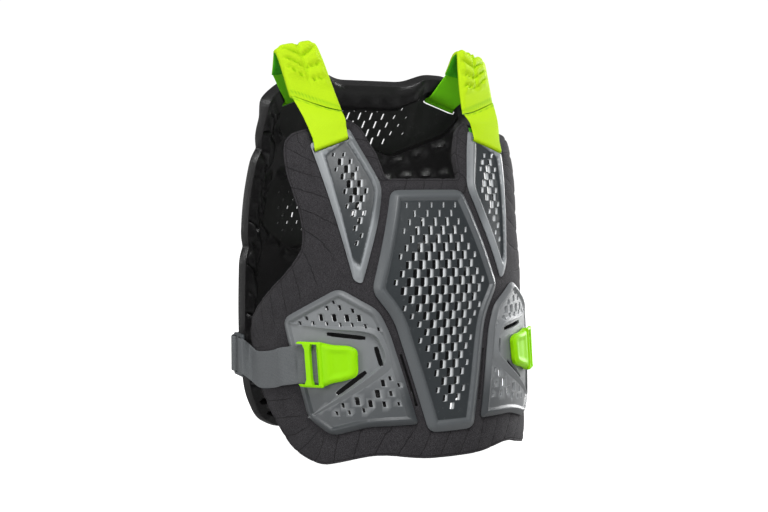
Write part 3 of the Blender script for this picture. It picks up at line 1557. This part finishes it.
@dataclass
class BackLiner:
    """The back's moulded foam: pillows along its sides, a neck roll and dashed window borders."""

    spacing: float = 4.0
    pillow_pitch: float = 27.0
    pillow_width: float = 25.0
    pillow_rise: float = 8.0
    pillow_lean: float = 1.1
    taper: float = 4.0
    dash_pitch: float = 25.0
    dash_rise: float = 5.0
    roll_rise: float = 6.0
    roll_height: float = 27.0

    def outline(self) -> Outline:
        """The liner's edge, with two notches in each side."""
        first, second = NOTCH_DROPS
        return Outline(symmetric((
            (0.62 * BACK_NECK_HALF, BACK_NECK_DROP, 9.0), (BACK_NECK_HALF, BACK_NECK_DROP - 10, 8.0),
            (0.85 * BACK_TOP_OUTER - 12, BACK_NECK_DROP - 9, 8.0), (BACK_TOP_OUTER, BACK_NECK_DROP + 10, 9.0),
            (0.84 * BACK_SIDE, BACK_NECK_DROP + 25, 10.0), (0.9 * BACK_SIDE, BACK_NECK_DROP + 58, 8.0),
            (0.84 * BACK_SIDE, first, 2.0), (0.92 * BACK_SIDE, first + 14, 8.0),
            (0.98 * BACK_SIDE, first + 75, 14.0), (0.985 * BACK_SIDE, second - 14, 6.0),
            (0.94 * BACK_SIDE, second, 2.0), (BACK_SIDE, second + 14, 8.0),
            (0.98 * BACK_SIDE, 0.75 * BACK_HEM_DROP, 14.0), (0.93 * BACK_SIDE, 0.88 * BACK_HEM_DROP, 14.0),
            (0.8 * BACK_SIDE, 0.96 * BACK_HEM_DROP, 14.0), (0.6 * BACK_SIDE, BACK_HEM_DROP, 14.0),
        )))

    def build(self) -> None:
        """Cuts and rounds the sheet, moulds its pillows, dashes and roll, and dresses it."""
        outline = self.outline()
        windows = [Outline(upper_window(0.0)), Outline(lower_window(0.0))]
        liner = padded_blank("back_foam_liner", BACK, outline, windows, BACK_FOAM, self.spacing, 3.5)
        pattern = pattern_of(BACK, liner)
        along, inside = from_edge(pattern[:, :2], [outline.loop()]).T
        border, window_gap = from_edge(pattern[:, :2], [window.loop() for window in windows]).T
        inner_face = pattern[:, 2] < 0.5 * BACK_FOAM
        low = smooth(BACK_NECK_DROP + 22, BACK_NECK_DROP + 45, pattern[:, 1])
        apart = wave((along + self.pillow_lean * inside) / self.pillow_pitch)
        pillow = (1.0 - smooth(0.66, 0.98, apart)) * smooth(0.5, 5.0, inside)
        pillow *= (1.0 - smooth(self.pillow_width - 6, self.pillow_width, inside)) * low
        dash = (1.0 - smooth(0.45, 0.8, wave(border / self.dash_pitch))) * smooth(3.0, 6.0, window_gap)
        dash *= (1.0 - smooth(9.0, 13.0, window_gap)) * smooth(14.0, 20.0, inside)
        half = np.abs(pattern[:, 0])
        roll_drop = pattern[:, 1] - BACK_NECK_DROP - 0.5 * self.roll_height
        roll_drop = roll_drop + 9.0 * smooth(30.0, 64.0, half)
        roll = (1.0 - smooth(0.6, 1.0, np.abs(roll_drop) / (0.5 * self.roll_height)))
        roll *= 1.0 - smooth(0.86 * BACK_NECK_HALF, 1.06 * BACK_NECK_HALF, half)
        apart = wave(pattern[:, 0] / self.dash_pitch + 0.5)
        roll_dash = (1.0 - smooth(0.4, 0.8, apart)) * hump(roll_drop, 3.2) * roll
        rise = np.maximum(self.pillow_rise * pillow, self.dash_rise * dash)
        rise = np.maximum(rise, self.roll_rise * roll) + 1.6 * roll_dash
        thin = self.taper * (1.0 - smooth(0.0, 24.0, inside)) * low
        pattern[:, 2] -= np.where(inner_face, rise, thin)
        move_points(liner, flat_axes(BACK, [pattern])[0])
        lay_on(BACK, liner)
        settle(liner, Finish.FOAM, "back_liner", 60.0)


# Bands: padded straps, webbing and elastic.


def bar_share(pattern: Array, side: Side) -> Array:
    """How far each place of the chest's pattern lies in the webbing's seat at its bar."""
    across = pattern[:, 0] * side.value - FRONT_BAR.inner
    along = across / math.cos(BAR_SLOPE)
    below = pattern[:, 1] - FRONT_BAR.drop - across * math.tan(BAR_SLOPE)
    share = smooth(WEBBING_START - 5, WEBBING_START - 2, along)
    share *= 1.0 - smooth(WEBBING_START + WEBBING_WIDTH + 2, WEBBING_START + WEBBING_WIDTH + 5, along)
    return share * (1.0 - smooth(BAR_HEIGHT + SLOT_HEIGHT, BAR_HEIGHT + SLOT_HEIGHT + 3, below))


def across_shares(count: int, rounded: float) -> Array:
    """Shares of a band's width, closer together in its rounded edges."""
    edge = rounded * (1 - np.cos(np.linspace(0, math.pi / 2, 5)))
    middle = np.linspace(rounded, 1 - rounded, count)[1:-1]
    return np.concatenate([edge, middle, 1 - edge[::-1]])


@dataclass
class Band:
    """A band through stations, each a row of outer and inner points across its width."""

    name: str
    outer: Array
    inner: Array
    shares: Array
    rounded: float
    width: float
    relief: Reading | None = None
    stitch: Reading | None = None

    def build(self) -> Piece:
        """Extrudes the band from ring to ring, and keeps its weave and stitches on the mesh."""
        middle = (self.outer + self.inner) / 2
        half = (self.outer - self.inner) / 2
        steps = np.linalg.norm(np.diff(middle[:, len(self.shares) // 2], axis=0), axis=1)
        along = np.concatenate([[0.0], np.cumsum(steps)])
        edge = np.clip(np.minimum(self.shares, 1 - self.shares) / self.rounded, 0, 1)
        fullness = np.sqrt(np.maximum(1 - (1 - edge) ** 2, 0.0))
        lift = np.zeros((len(along), len(self.shares)))
        if self.relief:
            lift = self.relief(along[:, None], self.shares[None, :] * self.width)
        unit = half / np.maximum(np.linalg.norm(half, axis=2, keepdims=True), 1e-6)
        top = middle + half * fullness[None, :, None] + unit * (lift * fullness[None, :])[:, :, None]
        under = middle - half * fullness[None, :, None]
        loops = [np.vstack([t, u[-2:0:-1]]) for t, u in zip(top, under)]
        piece = raise_loops(self.name, loops)
        move_points(piece, points_of(piece) * MM)
        row, place = (self.whole(piece, name) for name in ("row", "place"))
        across = np.concatenate([self.shares, self.shares[-2:0:-1]]) * self.width
        write_weave(piece, "weave", np.column_stack([along[row], across[place]]))
        if self.stitch:
            write_attribute(piece, "stitch", self.stitch(along[row], across[place]))
        write_attribute(piece, "under", (place >= len(self.shares)).astype(float))
        return piece

    @staticmethod
    def whole(piece: Piece, name: str) -> Array:
        """A whole number kept for each vertex."""
        values = np.empty(len(piece.data.vertices), np.int32)
        piece.data.attributes[name].data.foreach_get("value", values)
        return values


def stitches(at: Sequence[float], pitch: float = 3.4) -> Reading:
    """Rows of stitches across a band at some distances along it."""
    def share(along: Array, across: Array) -> Array:
        """How much of a stitch each place is."""
        rows = sum(hump(along - place, 0.9) for place in at)
        return np.clip(rows, 0, 1) * (0.55 + 0.45 * np.cos(2 * math.pi * across / pitch))
    return share


PAD_WIDTH = 50.0
PAD_THICK = 8.0
PAD_ROUND = 0.09
WEBBING_ROUND = 0.03
SHOULDER_INNER = 88.0
SHOULDER_FALL = 10.0
PAD_FRONT_DROP = 58.0
PAD_REAR_DROP = 12.0
RIDGE_HEIGHT = PAD_THICK + SHOULDER_FALL / 2
PAD_SLOPE = math.asin(SHOULDER_FALL / PAD_WIDTH)

# The strap's outer surface from its front seam to its rear seam: x, y and z of the inner edge,
# how far back the outer edge lies as a share of the width, the wall's direction and its
# thickness as a share of the pad's.
STRAP_RUN = np.array((
    (0.846 * SHOULDER_INNER, -43.0, -1.08 * PAD_FRONT_DROP, 0.12, 0.0, -0.9, 0.42, 0.5),
    (0.896 * SHOULDER_INNER, -30.0, -0.62 * PAD_FRONT_DROP, 0.12, 0.0, -0.9, 0.42, 0.9),
    (0.958 * SHOULDER_INNER, -16.0, -0.1 * PAD_FRONT_DROP, 0.12, 0.0, -0.85, 0.5, 1.0),
    (SHOULDER_INNER, -7.0, 0.8 * RIDGE_HEIGHT, 0.12, 0.0, -0.6, 0.8, 1.0),
    (SHOULDER_INNER + 1, 1.0, RIDGE_HEIGHT, 0.1, 0.0, 0.0, 1.0, 1.0),
    (SHOULDER_INNER, 9.0, 0.7 * RIDGE_HEIGHT, 0.05, 0.0, 0.55, 0.83, 1.0),
    (SHOULDER_INNER - 1, 17.0, -0.2 * PAD_REAR_DROP, -0.08, 0.0, 0.68, 0.73, 0.9),
    (SHOULDER_INNER - 2, 22.0, -PAD_REAR_DROP, -0.2, 0.0, 0.75, 0.66, 0.5),
))

# How much further back the outer edge lies over the ridge, on either side, and by how much of
# that each row of the run is turned.
TWIST = {Side.RIGHT: -0.2, Side.LEFT: 0.24}
TWIST_SHARE = (0.0, 0.25, 0.7, 1.0, 1.0, 1.0, 0.6, 0.0)

# By how much of a row the pad's front end is cut back at its outer edge.
SEAM_SKEW = 0.95


def run_rows(side: Side) -> Array:
    """The strap's run with its twist on one side."""
    rows = STRAP_RUN.copy()
    rows[:, 3] += TWIST[side] * np.array(TWIST_SHARE)
    return rows


def run_lines(rows: Array, width: float, shares: Array, lift: float,
              thick: Array | float, side: Side) -> Lines:
    """The outer and inner lines of a band over the shoulder.

    Args:
        rows: Rows like those of STRAP_RUN.
        width: The band's width, in the middle of the pad's.
        shares: Shares of the width.
        lift: How far it lies outside the pad's outer surface.
        thick: Its thickness at each row.
        side: The side that it is on.

    Returns:
        The outer and the inner points, row by row.
    """
    wall = rows[:, 4:7] / np.linalg.norm(rows[:, 4:7], axis=1, keepdims=True)
    along = (PAD_WIDTH - width) / 2 + shares * width
    outer = np.empty((len(rows), len(shares), 3))
    outer[:, :, 0] = rows[:, 0, None] + along * math.cos(PAD_SLOPE)
    outer[:, :, 1] = rows[:, 1, None] + rows[:, 3, None] * along
    outer[:, :, 2] = rows[:, 2, None] - along * math.sin(PAD_SLOPE)
    outer += lift * wall[:, None, :]
    inner = outer - wall[:, None, :] * np.broadcast_to(thick, len(rows))[:, None, None]
    flip = np.array([side.value, 1.0, 1.0])
    return outer * flip, inner * flip


def pad_lines(side: Side, width: float, shares: Array, places: Array,
              thick: float) -> Lines:
    """The outer and inner lines of a pad, from its slanted front seam to its rear end.

    Args:
        side: The side that it is on.
        width: The width that the shares divide.
        shares: Shares of the width.
        places: Places between the front seam, 0, and the rear end, 1.
        thick: The full thickness, or 0 where the webbing's is wanted.

    Returns:
        The outer and the inner points, row by row.
    """
    columns = []
    for share in shares:
        start = SEAM_SKEW * share
        rows = through(run_rows(side), start + (len(STRAP_RUN) - 1 - start) * places)
        deep = rows[:, 7] * thick if thick else WEBBING_THICK
        columns.append(run_lines(rows, width, np.array([share]), 0.0, deep, side))
    return (np.concatenate([outer for outer, _ in columns], axis=1),
            np.concatenate([inner for _, inner in columns], axis=1))


@dataclass
class ShoulderPad:
    """The padded part of a shoulder strap, embossed over the shoulder and smooth below."""

    side: Side
    rows: int = 70
    emboss: float = 3.2
    emboss_pitch: float = 14.0
    emboss_lean: float = 0.55
    channel_width: float = 0.22
    spine_width: float = 1.8
    ridge: float = 82.0
    emboss_front: float = 58.0
    emboss_rear: float = 34.0
    seam_inset: float = 3.2

    def relief(self, along: Array, across: Array) -> Array:
        """The pad's crown and its slanted embossed channels."""
        near = smooth(-self.emboss_front, 8 - self.emboss_front, along - self.ridge)
        near *= 1.0 - smooth(self.emboss_rear - 8, self.emboss_rear, along - self.ridge)
        lean = np.where(across < PAD_WIDTH / 2, 1.0, -1.0) * self.emboss_lean * (across - PAD_WIDTH / 2)
        channel = hump(wave((along + lean) / self.emboss_pitch) - 1.0, self.channel_width)
        channel = channel + 0.7 * hump(across - PAD_WIDTH / 2, self.spine_width)
        inside = smooth(4.0, 9.0, across) * (1 - smooth(PAD_WIDTH - 9, PAD_WIDTH - 4, across))
        seam = hump(across - self.seam_inset, 0.8) + hump(across - PAD_WIDTH + self.seam_inset, 0.8)
        crown = 0.5 * np.sin(np.pi * across / PAD_WIDTH)
        return crown + self.emboss * near * inside * (0.8 - 1.6 * np.clip(channel, 0, 1)) - 0.5 * seam

    def build(self) -> None:
        """Makes the pad with its crown and embossing, and dresses it."""
        shares = across_shares(26, PAD_ROUND)
        outer, inner = pad_lines(self.side, PAD_WIDTH, shares, np.linspace(0, 1, self.rows), PAD_THICK)
        pad = Band(f"strap_pad_{self.side.word}", outer, inner, shares, PAD_ROUND, PAD_WIDTH, self.relief,
                   stitches((4.0, 6.5))).build()
        settle(pad, Finish.LIME_PAD, f"shoulder_pad_{self.side.word}", 60.0)


def turned_path(turn: float, near: float, far: float, tail: float, rise: float) -> list[Row]:
    """Webbing's middle line from its tail, round the bar's foot and up its other face.

    Args:
        turn: How far below the bar's top the fold's middle is.
        near: The height of the middle line where its tail lies.
        far: The height where it leaves.
        tail: How far above the bar's top the tail ends.
        rise: How far above the bar's top the other end is.

    Returns:
        Rows of distance below, height and the outward direction in those two.
    """
    middle, radius = (near + far) / 2, abs(far - near) / 2
    towards = math.copysign(1.0, far - near)
    path = [(below, near, 0.0, -towards) for below in np.linspace(-tail, turn, 5)[:-1]]
    for angle in np.linspace(0, math.pi, 9):
        path.append((turn + radius * 0.8 * math.sin(angle), middle - towards * radius * math.cos(angle),
                     math.sin(angle), -towards * math.cos(angle)))
    return path + [(below, far, 0.0, towards) for below in np.linspace(turn, -rise, 5)[1:]]


@dataclass
class FrontWebbing:
    """The webbing from a pad's front seam to the fold round its bar."""

    side: Side
    bow: float = 3.5

    def build(self) -> None:
        """Lays the webbing from its tail behind the bar to the seam, and dresses it."""
        shares = across_shares(16, WEBBING_ROUND)
        near = FRONT_SEAT - CLOTH_GAP - WEBBING_THICK / 2
        far = FRONT_SEAT + PLATE_THICK + CLOTH_GAP + WEBBING_THICK / 2
        path = turned_path(BAR_HEIGHT + CLOTH_GAP, near, far, 6.0, 2.0)
        outer, inner = FRONT_BAR.lines(path, shares, self.side)
        seam = [line + np.array([0.0, -0.9, -1.0])
                for line in pad_lines(self.side, PAD_WIDTH - 2, shares, np.zeros(1), 0.0)]
        bow = np.array([0.0, -self.bow, 0.0])
        free = [np.vstack([lines[-2:], (lines[-1:] + end) / 2 + bow, end])
                for lines, end in zip((outer, inner), seam)]
        flat = [lines.reshape(len(lines), -1) for lines in free]
        bent = [through(lines, np.linspace(1, 3, 22)[1:]).reshape(-1, len(shares), 3) for lines in flat]
        outer, inner = np.vstack([outer, bent[0]]), np.vstack([inner, bent[1]])
        run = np.sum(np.linalg.norm(np.diff(outer[:, len(shares) // 2], axis=0), axis=1))
        webbing = Band(f"front_strap_{self.side.word}", outer, inner, shares, WEBBING_ROUND, WEBBING_WIDTH,
                       stitch=stitches((run - 3.0, run - 6.0))).build()
        settle(webbing, Finish.LIME_WEBBING, f"front_webbing_{self.side.word}", 50.0)


@dataclass
class RearWebbing:
    """The webbing from a pad's rear seam, through the back plate's slot and round its bar."""

    side: Side

    def build(self) -> None:
        """Lays the webbing from its tail outside the back plate to the seam, and dresses it."""
        shares = across_shares(16, WEBBING_ROUND)
        near = BACK_SEAT + PLATE_THICK + CLOTH_GAP + WEBBING_THICK / 2
        far = BACK_SEAT - CLOTH_GAP - WEBBING_THICK / 2
        path = turned_path(BAR_HEIGHT + CLOTH_GAP, near, far, 3.0, 1.0 - BAR_HEIGHT)
        clear = -CLOTH_GAP - WEBBING_THICK / 2
        path += [(-2.0, clear, 0.0, -1.0)]
        outer, inner = BACK_BAR.lines(path, shares, self.side)
        row = STRAP_RUN[-1:].copy()
        row[0, :3] += (0.0, 0.2, -CLOTH_GAP)
        top = run_lines(row, PAD_WIDTH - 3, shares, -1.0, WEBBING_THICK, self.side)
        outer = np.vstack([outer, (outer[-1:] + top[1]) / 2, top[1]])
        inner = np.vstack([inner, (inner[-1:] + top[0]) / 2, top[0]])
        count = len(outer)
        fine = np.concatenate([np.arange(count - 4), np.linspace(count - 4, count - 1, 22)])
        outer, inner = (
            through(part.reshape(count, -1), fine).reshape(-1, len(shares), 3) for part in (outer, inner))
        webbing = Band(f"rear_strap_{self.side.word}", outer, inner, shares, WEBBING_ROUND, WEBBING_WIDTH,
                       stitch=stitches((2.5, 5.0))).build()
        settle(webbing, Finish.GREEN_WEBBING, f"rear_webbing_{self.side.word}", 50.0)


RIB_RISE = 3.4
ELASTIC_ROUND = 0.025
HOOK_SEAT = FRONT_SEAT + PLATE_THICK + CLOTH_GAP
STRAP_SEAT = FRONT_SEAT + PLATE_THICK + 0.6 * RIB_RISE + CLOTH_GAP
HOOK_SLOT = HOOK_TIP + 0.62 * HOOK_LENGTH
SLOT_RUN = 8.0
CROSSBAR = 5.5
SLIDER_WIDTH = 28.0
SLIDER_HEIGHT = 47.0
SLIDER_THICK = 3.4
SLIDER_BAR = 5.0
SLIDER_Y = 27.0
SLIDER_X = FRONT_HALF_WIDTH + FRONT_FOAM + 9.0
SLIDER_DROP = 330.0
OVER = SLIDER_X + SLIDER_THICK / 2 + CLOTH_GAP + WEBBING_THICK / 2
UNDER = SLIDER_X - SLIDER_THICK / 2 - CLOTH_GAP - WEBBING_THICK / 2


def shell_line(shell: Shell, around: float, drop: float, height: float, shares: Array,
               side: Side) -> Lines:
    """An elastic's outer and inner points across its width at a place on a shell."""
    drops = drop + (shares - 0.5) * ELASTIC_WIDTH
    lines = [
        shell.lay(np.column_stack([
            np.full(len(shares), around * side.value), drops, np.full(len(shares), level)]))
        for level in (height + WEBBING_THICK, height)
    ]
    return lines[0] / MM, lines[1] / MM


def post_line(x: float, y: float, shares: Array, side: Side) -> Lines:
    """An elastic's outer and inner points across its width beside the slider."""
    z = -SLIDER_DROP - (shares - 0.5) * ELASTIC_WIDTH
    lines = [
        np.column_stack([np.full(len(shares), side.value * (x + shift)), np.full(len(shares), y), z])
        for shift in (WEBBING_THICK / 2, -WEBBING_THICK / 2)
    ]
    return lines[0], lines[1]


def elastic_band(name: str, shell: Shell, side: Side, rows: Sequence[tuple[float, float, float]],
                 posts: Sequence[Place], steps: int, at: Sequence[float]) -> Piece:
    """Builds an elastic band along a shell and on round the slider's bar.

    Args:
        name: The piece's name.
        shell: The shell that it starts on.
        side: The side that it is on.
        rows: Rows of around, drop and height on the shell.
        posts: Rows of X and Y at the slider.
        steps: How many rings each stretch gets.
        at: Where it is stitched across.

    Returns:
        The band.
    """
    shares = across_shares(14, ELASTIC_ROUND)
    lines = [shell_line(shell, *row, shares, side) for row in rows]
    lines += [post_line(*post, shares, side) for post in posts]
    count = len(lines)
    fine = np.linspace(0, count - 1, (count - 1) * steps + 1)
    outer, inner = (
        through(np.array([line[k] for line in lines]).reshape(count, -1), fine).reshape(-1, len(shares), 3)
        for k in (0, 1)
    )
    return Band(name, outer, inner, shares, ELASTIC_ROUND, ELASTIC_WIDTH, stitch=stitches(at, 2.6)).build()


@dataclass
class SideStrap:
    """The grey elastic from the hook's frame round the ribs to the slider."""

    side: Side

    def build(self) -> None:
        """Lays the elastic over the rib plate and the liner's wing, then to the slider."""
        rows = [(around, HOOK_DROP + down, height) for around, down, height in (
            (HOOK_SLOT + 1, 0, STRAP_SEAT), (HOOK_TIP + HOOK_LENGTH - 8, 0, STRAP_SEAT),
            (RIB_OUTER - 15, 1.5, STRAP_SEAT), (RIB_OUTER - 7, 3, STRAP_SEAT), (RIB_OUTER + 3, 5, STRAP_SEAT),
            (RIB_OUTER + 16, 9, FRONT_FOAM + 2.2), (RIB_OUTER + 32, 12, FRONT_FOAM + 1.6),
            (RIB_OUTER + 46, 13, FRONT_FOAM + 1.6), (SIDE_REACH - 10, 10, FRONT_FOAM + 1.6),
        )]
        first = SLIDER_Y - SLIDER_WIDTH / 2
        posts = ((OVER - 1, first - 6), (OVER, first - 1), (OVER, first + SLIDER_BAR + 0.6),
                 (UNDER, first + SLIDER_BAR + 3.4), (UNDER, SLIDER_Y - 0.6))
        strap = elastic_band(f"rib_elastic_{self.side.word}", FRONT, self.side, rows, posts, 7, (27.0,))
        settle(strap, Finish.GREY_ELASTIC, f"side_strap_{self.side.word}", 50.0)


@dataclass
class BackTab:
    """The short elastic tab from the back to the slider."""

    side: Side

    def build(self) -> None:
        """Lays the tab from the back's outer face to the slider."""
        rows = [(BACK_SIDE - before, SLIDER_DROP, BACK_FOAM + 2 * CLOTH_GAP) for before in (30, 19, 8)]
        last = SLIDER_Y + SLIDER_WIDTH / 2
        posts = ((OVER, last + 2), (OVER, last - SLIDER_BAR - 0.6), (UNDER, last - SLIDER_BAR - 3.4),
                 (UNDER, SLIDER_Y + 0.6))
        tab = elastic_band(f"back_elastic_{self.side.word}", BACK, self.side, rows, posts, 6, (4.0, 9.0))
        settle(tab, Finish.GREY_ELASTIC, f"back_tab_{self.side.word}", 50.0)


@dataclass
class StrapSlider:
    """A moulded ladder slider with two slots and ribbed bars."""

    side: Side
    rib_count: int = 9
    rib_pitch: float = 4.4
    rib_half: Place = (1.9, 0.9)

    def place(self, flat: Array) -> Array:
        """Turns flat places of along, up and out into real ones, in metres."""
        return np.column_stack([
            self.side.value * (SLIDER_X + flat[:, 2]), SLIDER_Y + flat[:, 0], -SLIDER_DROP + flat[:, 1]]) * MM

    def build(self) -> None:
        """Raises the frame, cuts its slots, adds its grip ribs and dresses it."""
        half = SLIDER_THICK / 2
        w, h = SLIDER_WIDTH / 2, SLIDER_HEIGHT / 2
        frame_outline = Outline(rectangle(w, -w, -h, h, 3.5), 5.0, 6)
        slider = raise_loops(f"ladder_slider_{self.side.word}", frame_outline.rise(
            ((0.9, -half), (0.25, -half + 0.3), (0.0, -half + 0.9), (0.0, half - 0.9), (0.25, half - 0.3),
             (0.9, half))))
        slot_half = ELASTIC_WIDTH / 2 + 0.8
        for turn in (1, -1):
            near, far = turn * SLIDER_BAR * 0.5, turn * (w - SLIDER_BAR)
            slot = Outline(rectangle(near, far, -slot_half, slot_half, 1.0), 8.0, 4)
            combine(slider, raise_loops("slot", slot.rise((
                (-0.5, -half - 1), (0.0, -half + 0.6), (0.0, half - 0.6), (-0.5, half + 1)))), "DIFFERENCE")
        for turn in (1, -1):
            for step in range(self.rib_count):
                up = (step - (self.rib_count - 1) / 2) * self.rib_pitch
                middle = turn * (w - SLIDER_BAR / 2)
                long, wide = self.rib_half
                rib = Outline(rectangle(middle + long, middle - long, up - wide, up + wide, 0.4), 6.0, 3)
                combine(slider, raise_loops("rib", rib.rise((
                    (0.0, 0.0), (0.0, half + 0.1), (0.6, half + 0.7)))), "UNION")
        move_points(slider, self.place(points_of(slider)))
        face_outwards(slider)
        settle(slider, Finish.SLIDER_PLASTIC, f"strap_slider_{self.side.word}")


@dataclass
class HookBuckle:
    """The lime hook clip that lies inside the rib plate's ridge, with the elastic's frame."""

    side: Side
    dish: float = 1.5

    def build(self) -> None:
        """Raises the body and its frame, dishes the face, cuts the slot and dresses it."""
        half, side = HOOK_HEIGHT / 2, self.side.value
        end, neck = HOOK_TIP + HOOK_LENGTH, HOOK_SLOT - 1
        top = HOOK_SEAT + HOOK_THICK
        body_corners = (
            (HOOK_TIP, HOOK_DROP - 0.34 * HOOK_HEIGHT, 9.0),
            (HOOK_TIP + 1, HOOK_DROP + 0.24 * HOOK_HEIGHT, 10.0),
            (HOOK_TIP + 0.22 * HOOK_LENGTH, HOOK_DROP + 0.34 * HOOK_HEIGHT, 9.0),
            (neck - 9, HOOK_DROP + 0.4 * HOOK_HEIGHT, 9.0), (neck + 1, HOOK_DROP + half, 4.0),
            (neck + 4, HOOK_DROP + half, 1.0), (neck + 4, HOOK_DROP - half, 1.0),
            (neck + 1, HOOK_DROP - half, 4.0), (neck - 12, HOOK_DROP - 0.44 * HOOK_HEIGHT, 9.0),
            (HOOK_TIP + 8, HOOK_DROP - 0.43 * HOOK_HEIGHT, 8.0),
        )
        frame_corners = (
            (neck - 2, HOOK_DROP - half, 2.0), (neck - 2, HOOK_DROP + half, 2.0),
            (end, HOOK_DROP + half, 4.0), (end, HOOK_DROP - half, 4.0),
        )
        body_outline = Outline(self.side.own(body_corners), 2.5, 6)
        body = flat_solid(f"hook_clip_{self.side.word}", FRONT, body_outline.rise((
            (1.2, HOOK_SEAT), (0.3, HOOK_SEAT + 0.5), (0.0, HOOK_SEAT + 1.6), (0.2, top - 3.4),
            (0.9, top - 1.8), (2.2, top - 0.6), (3.6, top - 0.1), (4.6, top))))
        slice_evenly(body, 2.5)
        pattern = pattern_of(FRONT, body)
        inside = from_edge(pattern[:, :2], [body_outline.loop()])[:, 1]
        across = pattern[:, 0] * side
        dish = smooth(5.0, 8.0, inside) * smooth(HOOK_TIP + 6, HOOK_TIP + 10, across)
        dish *= 1 - smooth(HOOK_TIP + 24, HOOK_TIP + 28, across)
        fall = 1.6 * smooth(HOOK_TIP + 16, HOOK_TIP, across) + 1.2 * smooth(neck - 10, neck + 2, across)
        raised = pattern[:, 2] > top - 2.5
        pattern[:, 2] -= np.where(raised, self.dish * dish + fall, 0.0)
        move_points(body, flat_axes(FRONT, [pattern])[0])
        lay_on(FRONT, body)
        strap_top = STRAP_SEAT + WEBBING_THICK + CLOTH_GAP
        frame_outline = Outline(self.side.own(frame_corners), 4.0, 5)
        ring = flat_solid("hook_frame", FRONT, frame_outline.rise((
            (0.8, strap_top), (0.0, strap_top + 0.8), (0.0, strap_top + 3.0), (1.0, strap_top + 4.2),
            (2.0, strap_top + 4.6))))
        slice_evenly(ring, 4.0)
        lay_on(FRONT, ring)
        slot_half = ELASTIC_WIDTH / 2 + 1
        first = HOOK_SLOT + SLOT_RUN + CROSSBAR
        holes = [Cell((HOOK_SLOT + SLOT_RUN / 2) * side, HOOK_DROP, SLOT_RUN, 2 * slot_half),
                 Cell((first + end + 6) / 2 * side, HOOK_DROP, end + 6 - first, 2 * slot_half)]
        cut_cells(ring, FRONT, holes, strap_top, 0.8, 4.6)
        combine(body, ring, "UNION")
        settle(body, Finish.LIME_PLASTIC, f"hook_buckle_{self.side.word}", 35.0)


# Studio.


@dataclass
class Studio:
    """A plain pale floor, soft light and the camera at the photograph's angle."""

    lens: float = 52.97
    sensor: float = 36.0
    turn: float = -0.4555
    tilt: float = 0.0693
    distance: float = 1300.0
    target: tuple[float, float, float] = (0.0, 8.0, -225.0)
    aim: tuple[float, float, float] = (0.0, 0.0, -0.22)
    floor_drop: float = 440.0
    floor_radius: float = 6.0
    floor_tone: float = 0.6
    floor_glow: float = 0.05
    backdrop: float = 1.05
    fill: float = 0.24

    def camera(self) -> None:
        """Places the camera."""
        ahead = Vector((math.sin(self.turn) * math.cos(self.tilt), -math.cos(self.turn) * math.cos(self.tilt),
                        math.sin(self.tilt)))
        target = Vector(self.target) * MM
        lens = bpy.data.cameras.new("view")
        lens.lens, lens.sensor_width = self.lens, self.sensor
        lens.clip_start, lens.clip_end = 0.01, 50.0
        camera = new_object("view", lens)
        camera.location = target + ahead * self.distance * MM
        camera.rotation_euler = ahead.to_track_quat("Z", "Y").to_euler()
        bpy.context.scene.camera = camera

    def lamp(self, name: str, place: tuple[float, float, float], size: float, power: float) -> None:
        """Adds a soft square lamp that faces the deflector."""
        light = bpy.data.lights.new(name, "AREA")
        light.shape, light.size, light.energy = "SQUARE", size, power
        lamp = new_object(name, light)
        lamp.location = place
        lamp.rotation_euler = (Vector(place) - Vector(self.aim)).to_track_quat("Z", "Y").to_euler()

    def build(self) -> None:
        """Adds the camera, the floor, the world and the lamps."""
        self.camera()
        scene = bpy.context.scene
        scene.view_settings.view_transform = "Standard"
        world = bpy.data.worlds.new("studio")
        world.use_nodes = True
        tree = world.node_tree
        glow = tree.nodes["Background"]
        glow.inputs["Color"].default_value = (1.0, 1.0, 1.0, 1.0)
        path = tree.nodes.new("ShaderNodeLightPath")
        level = tree.nodes.new("ShaderNodeMapRange")
        level.inputs["To Min"].default_value = self.fill
        level.inputs["To Max"].default_value = self.backdrop
        tree.links.new(path.outputs["Is Camera Ray"], level.inputs["Value"])
        tree.links.new(level.outputs[0], glow.inputs["Strength"])
        scene.world = world
        deselect_all()
        bpy.ops.mesh.primitive_circle_add(vertices=96, radius=self.floor_radius, fill_type="NGON",
                                          location=(0.0, 0.0, -self.floor_drop * MM))
        floor = bpy.context.object
        floor.name = "floor"
        recipe = Recipe("pale_floor")
        seen = recipe.node("ShaderNodeLightPath").outputs["Is Camera Ray"]
        floor.data.materials.append(recipe.surface(
            (self.floor_tone, self.floor_tone, self.floor_tone, 1.0), 0.9,
            Emission_Color=(1.0, 1.0, 1.0, 1.0),
            Emission_Strength=recipe.maths("MAXIMUM", seen, self.floor_glow)))
        self.lamp("left_lamp", (-2.2, -0.6, 0.3), 1.1, 17.0)
        self.lamp("right_lamp", (2.1, 0.6, 0.2), 1.0, 50.0)
        self.lamp("top_lamp", (-0.3, -1.2, 1.6), 1.0, 38.0)


def main() -> None:
    """Builds the studio and every piece in order, and notes the two boxes."""
    logging.basicConfig(level=logging.INFO, format="%(name)s: %(message)s")
    Studio().build()
    FrontLiner().build()
    CentrePlate().build()
    BackLiner().build()
    UpperBackPlate().build()
    LowerBackPlate().build()
    for side in Side:
        for part in (UpperPlate, RibPlate, ShoulderPad, FrontWebbing, RearWebbing, SideStrap, HookBuckle,
                     StrapSlider, BackTab):
            part(side).build()
    deselect_all()


if __name__ == "__main__":
    main()
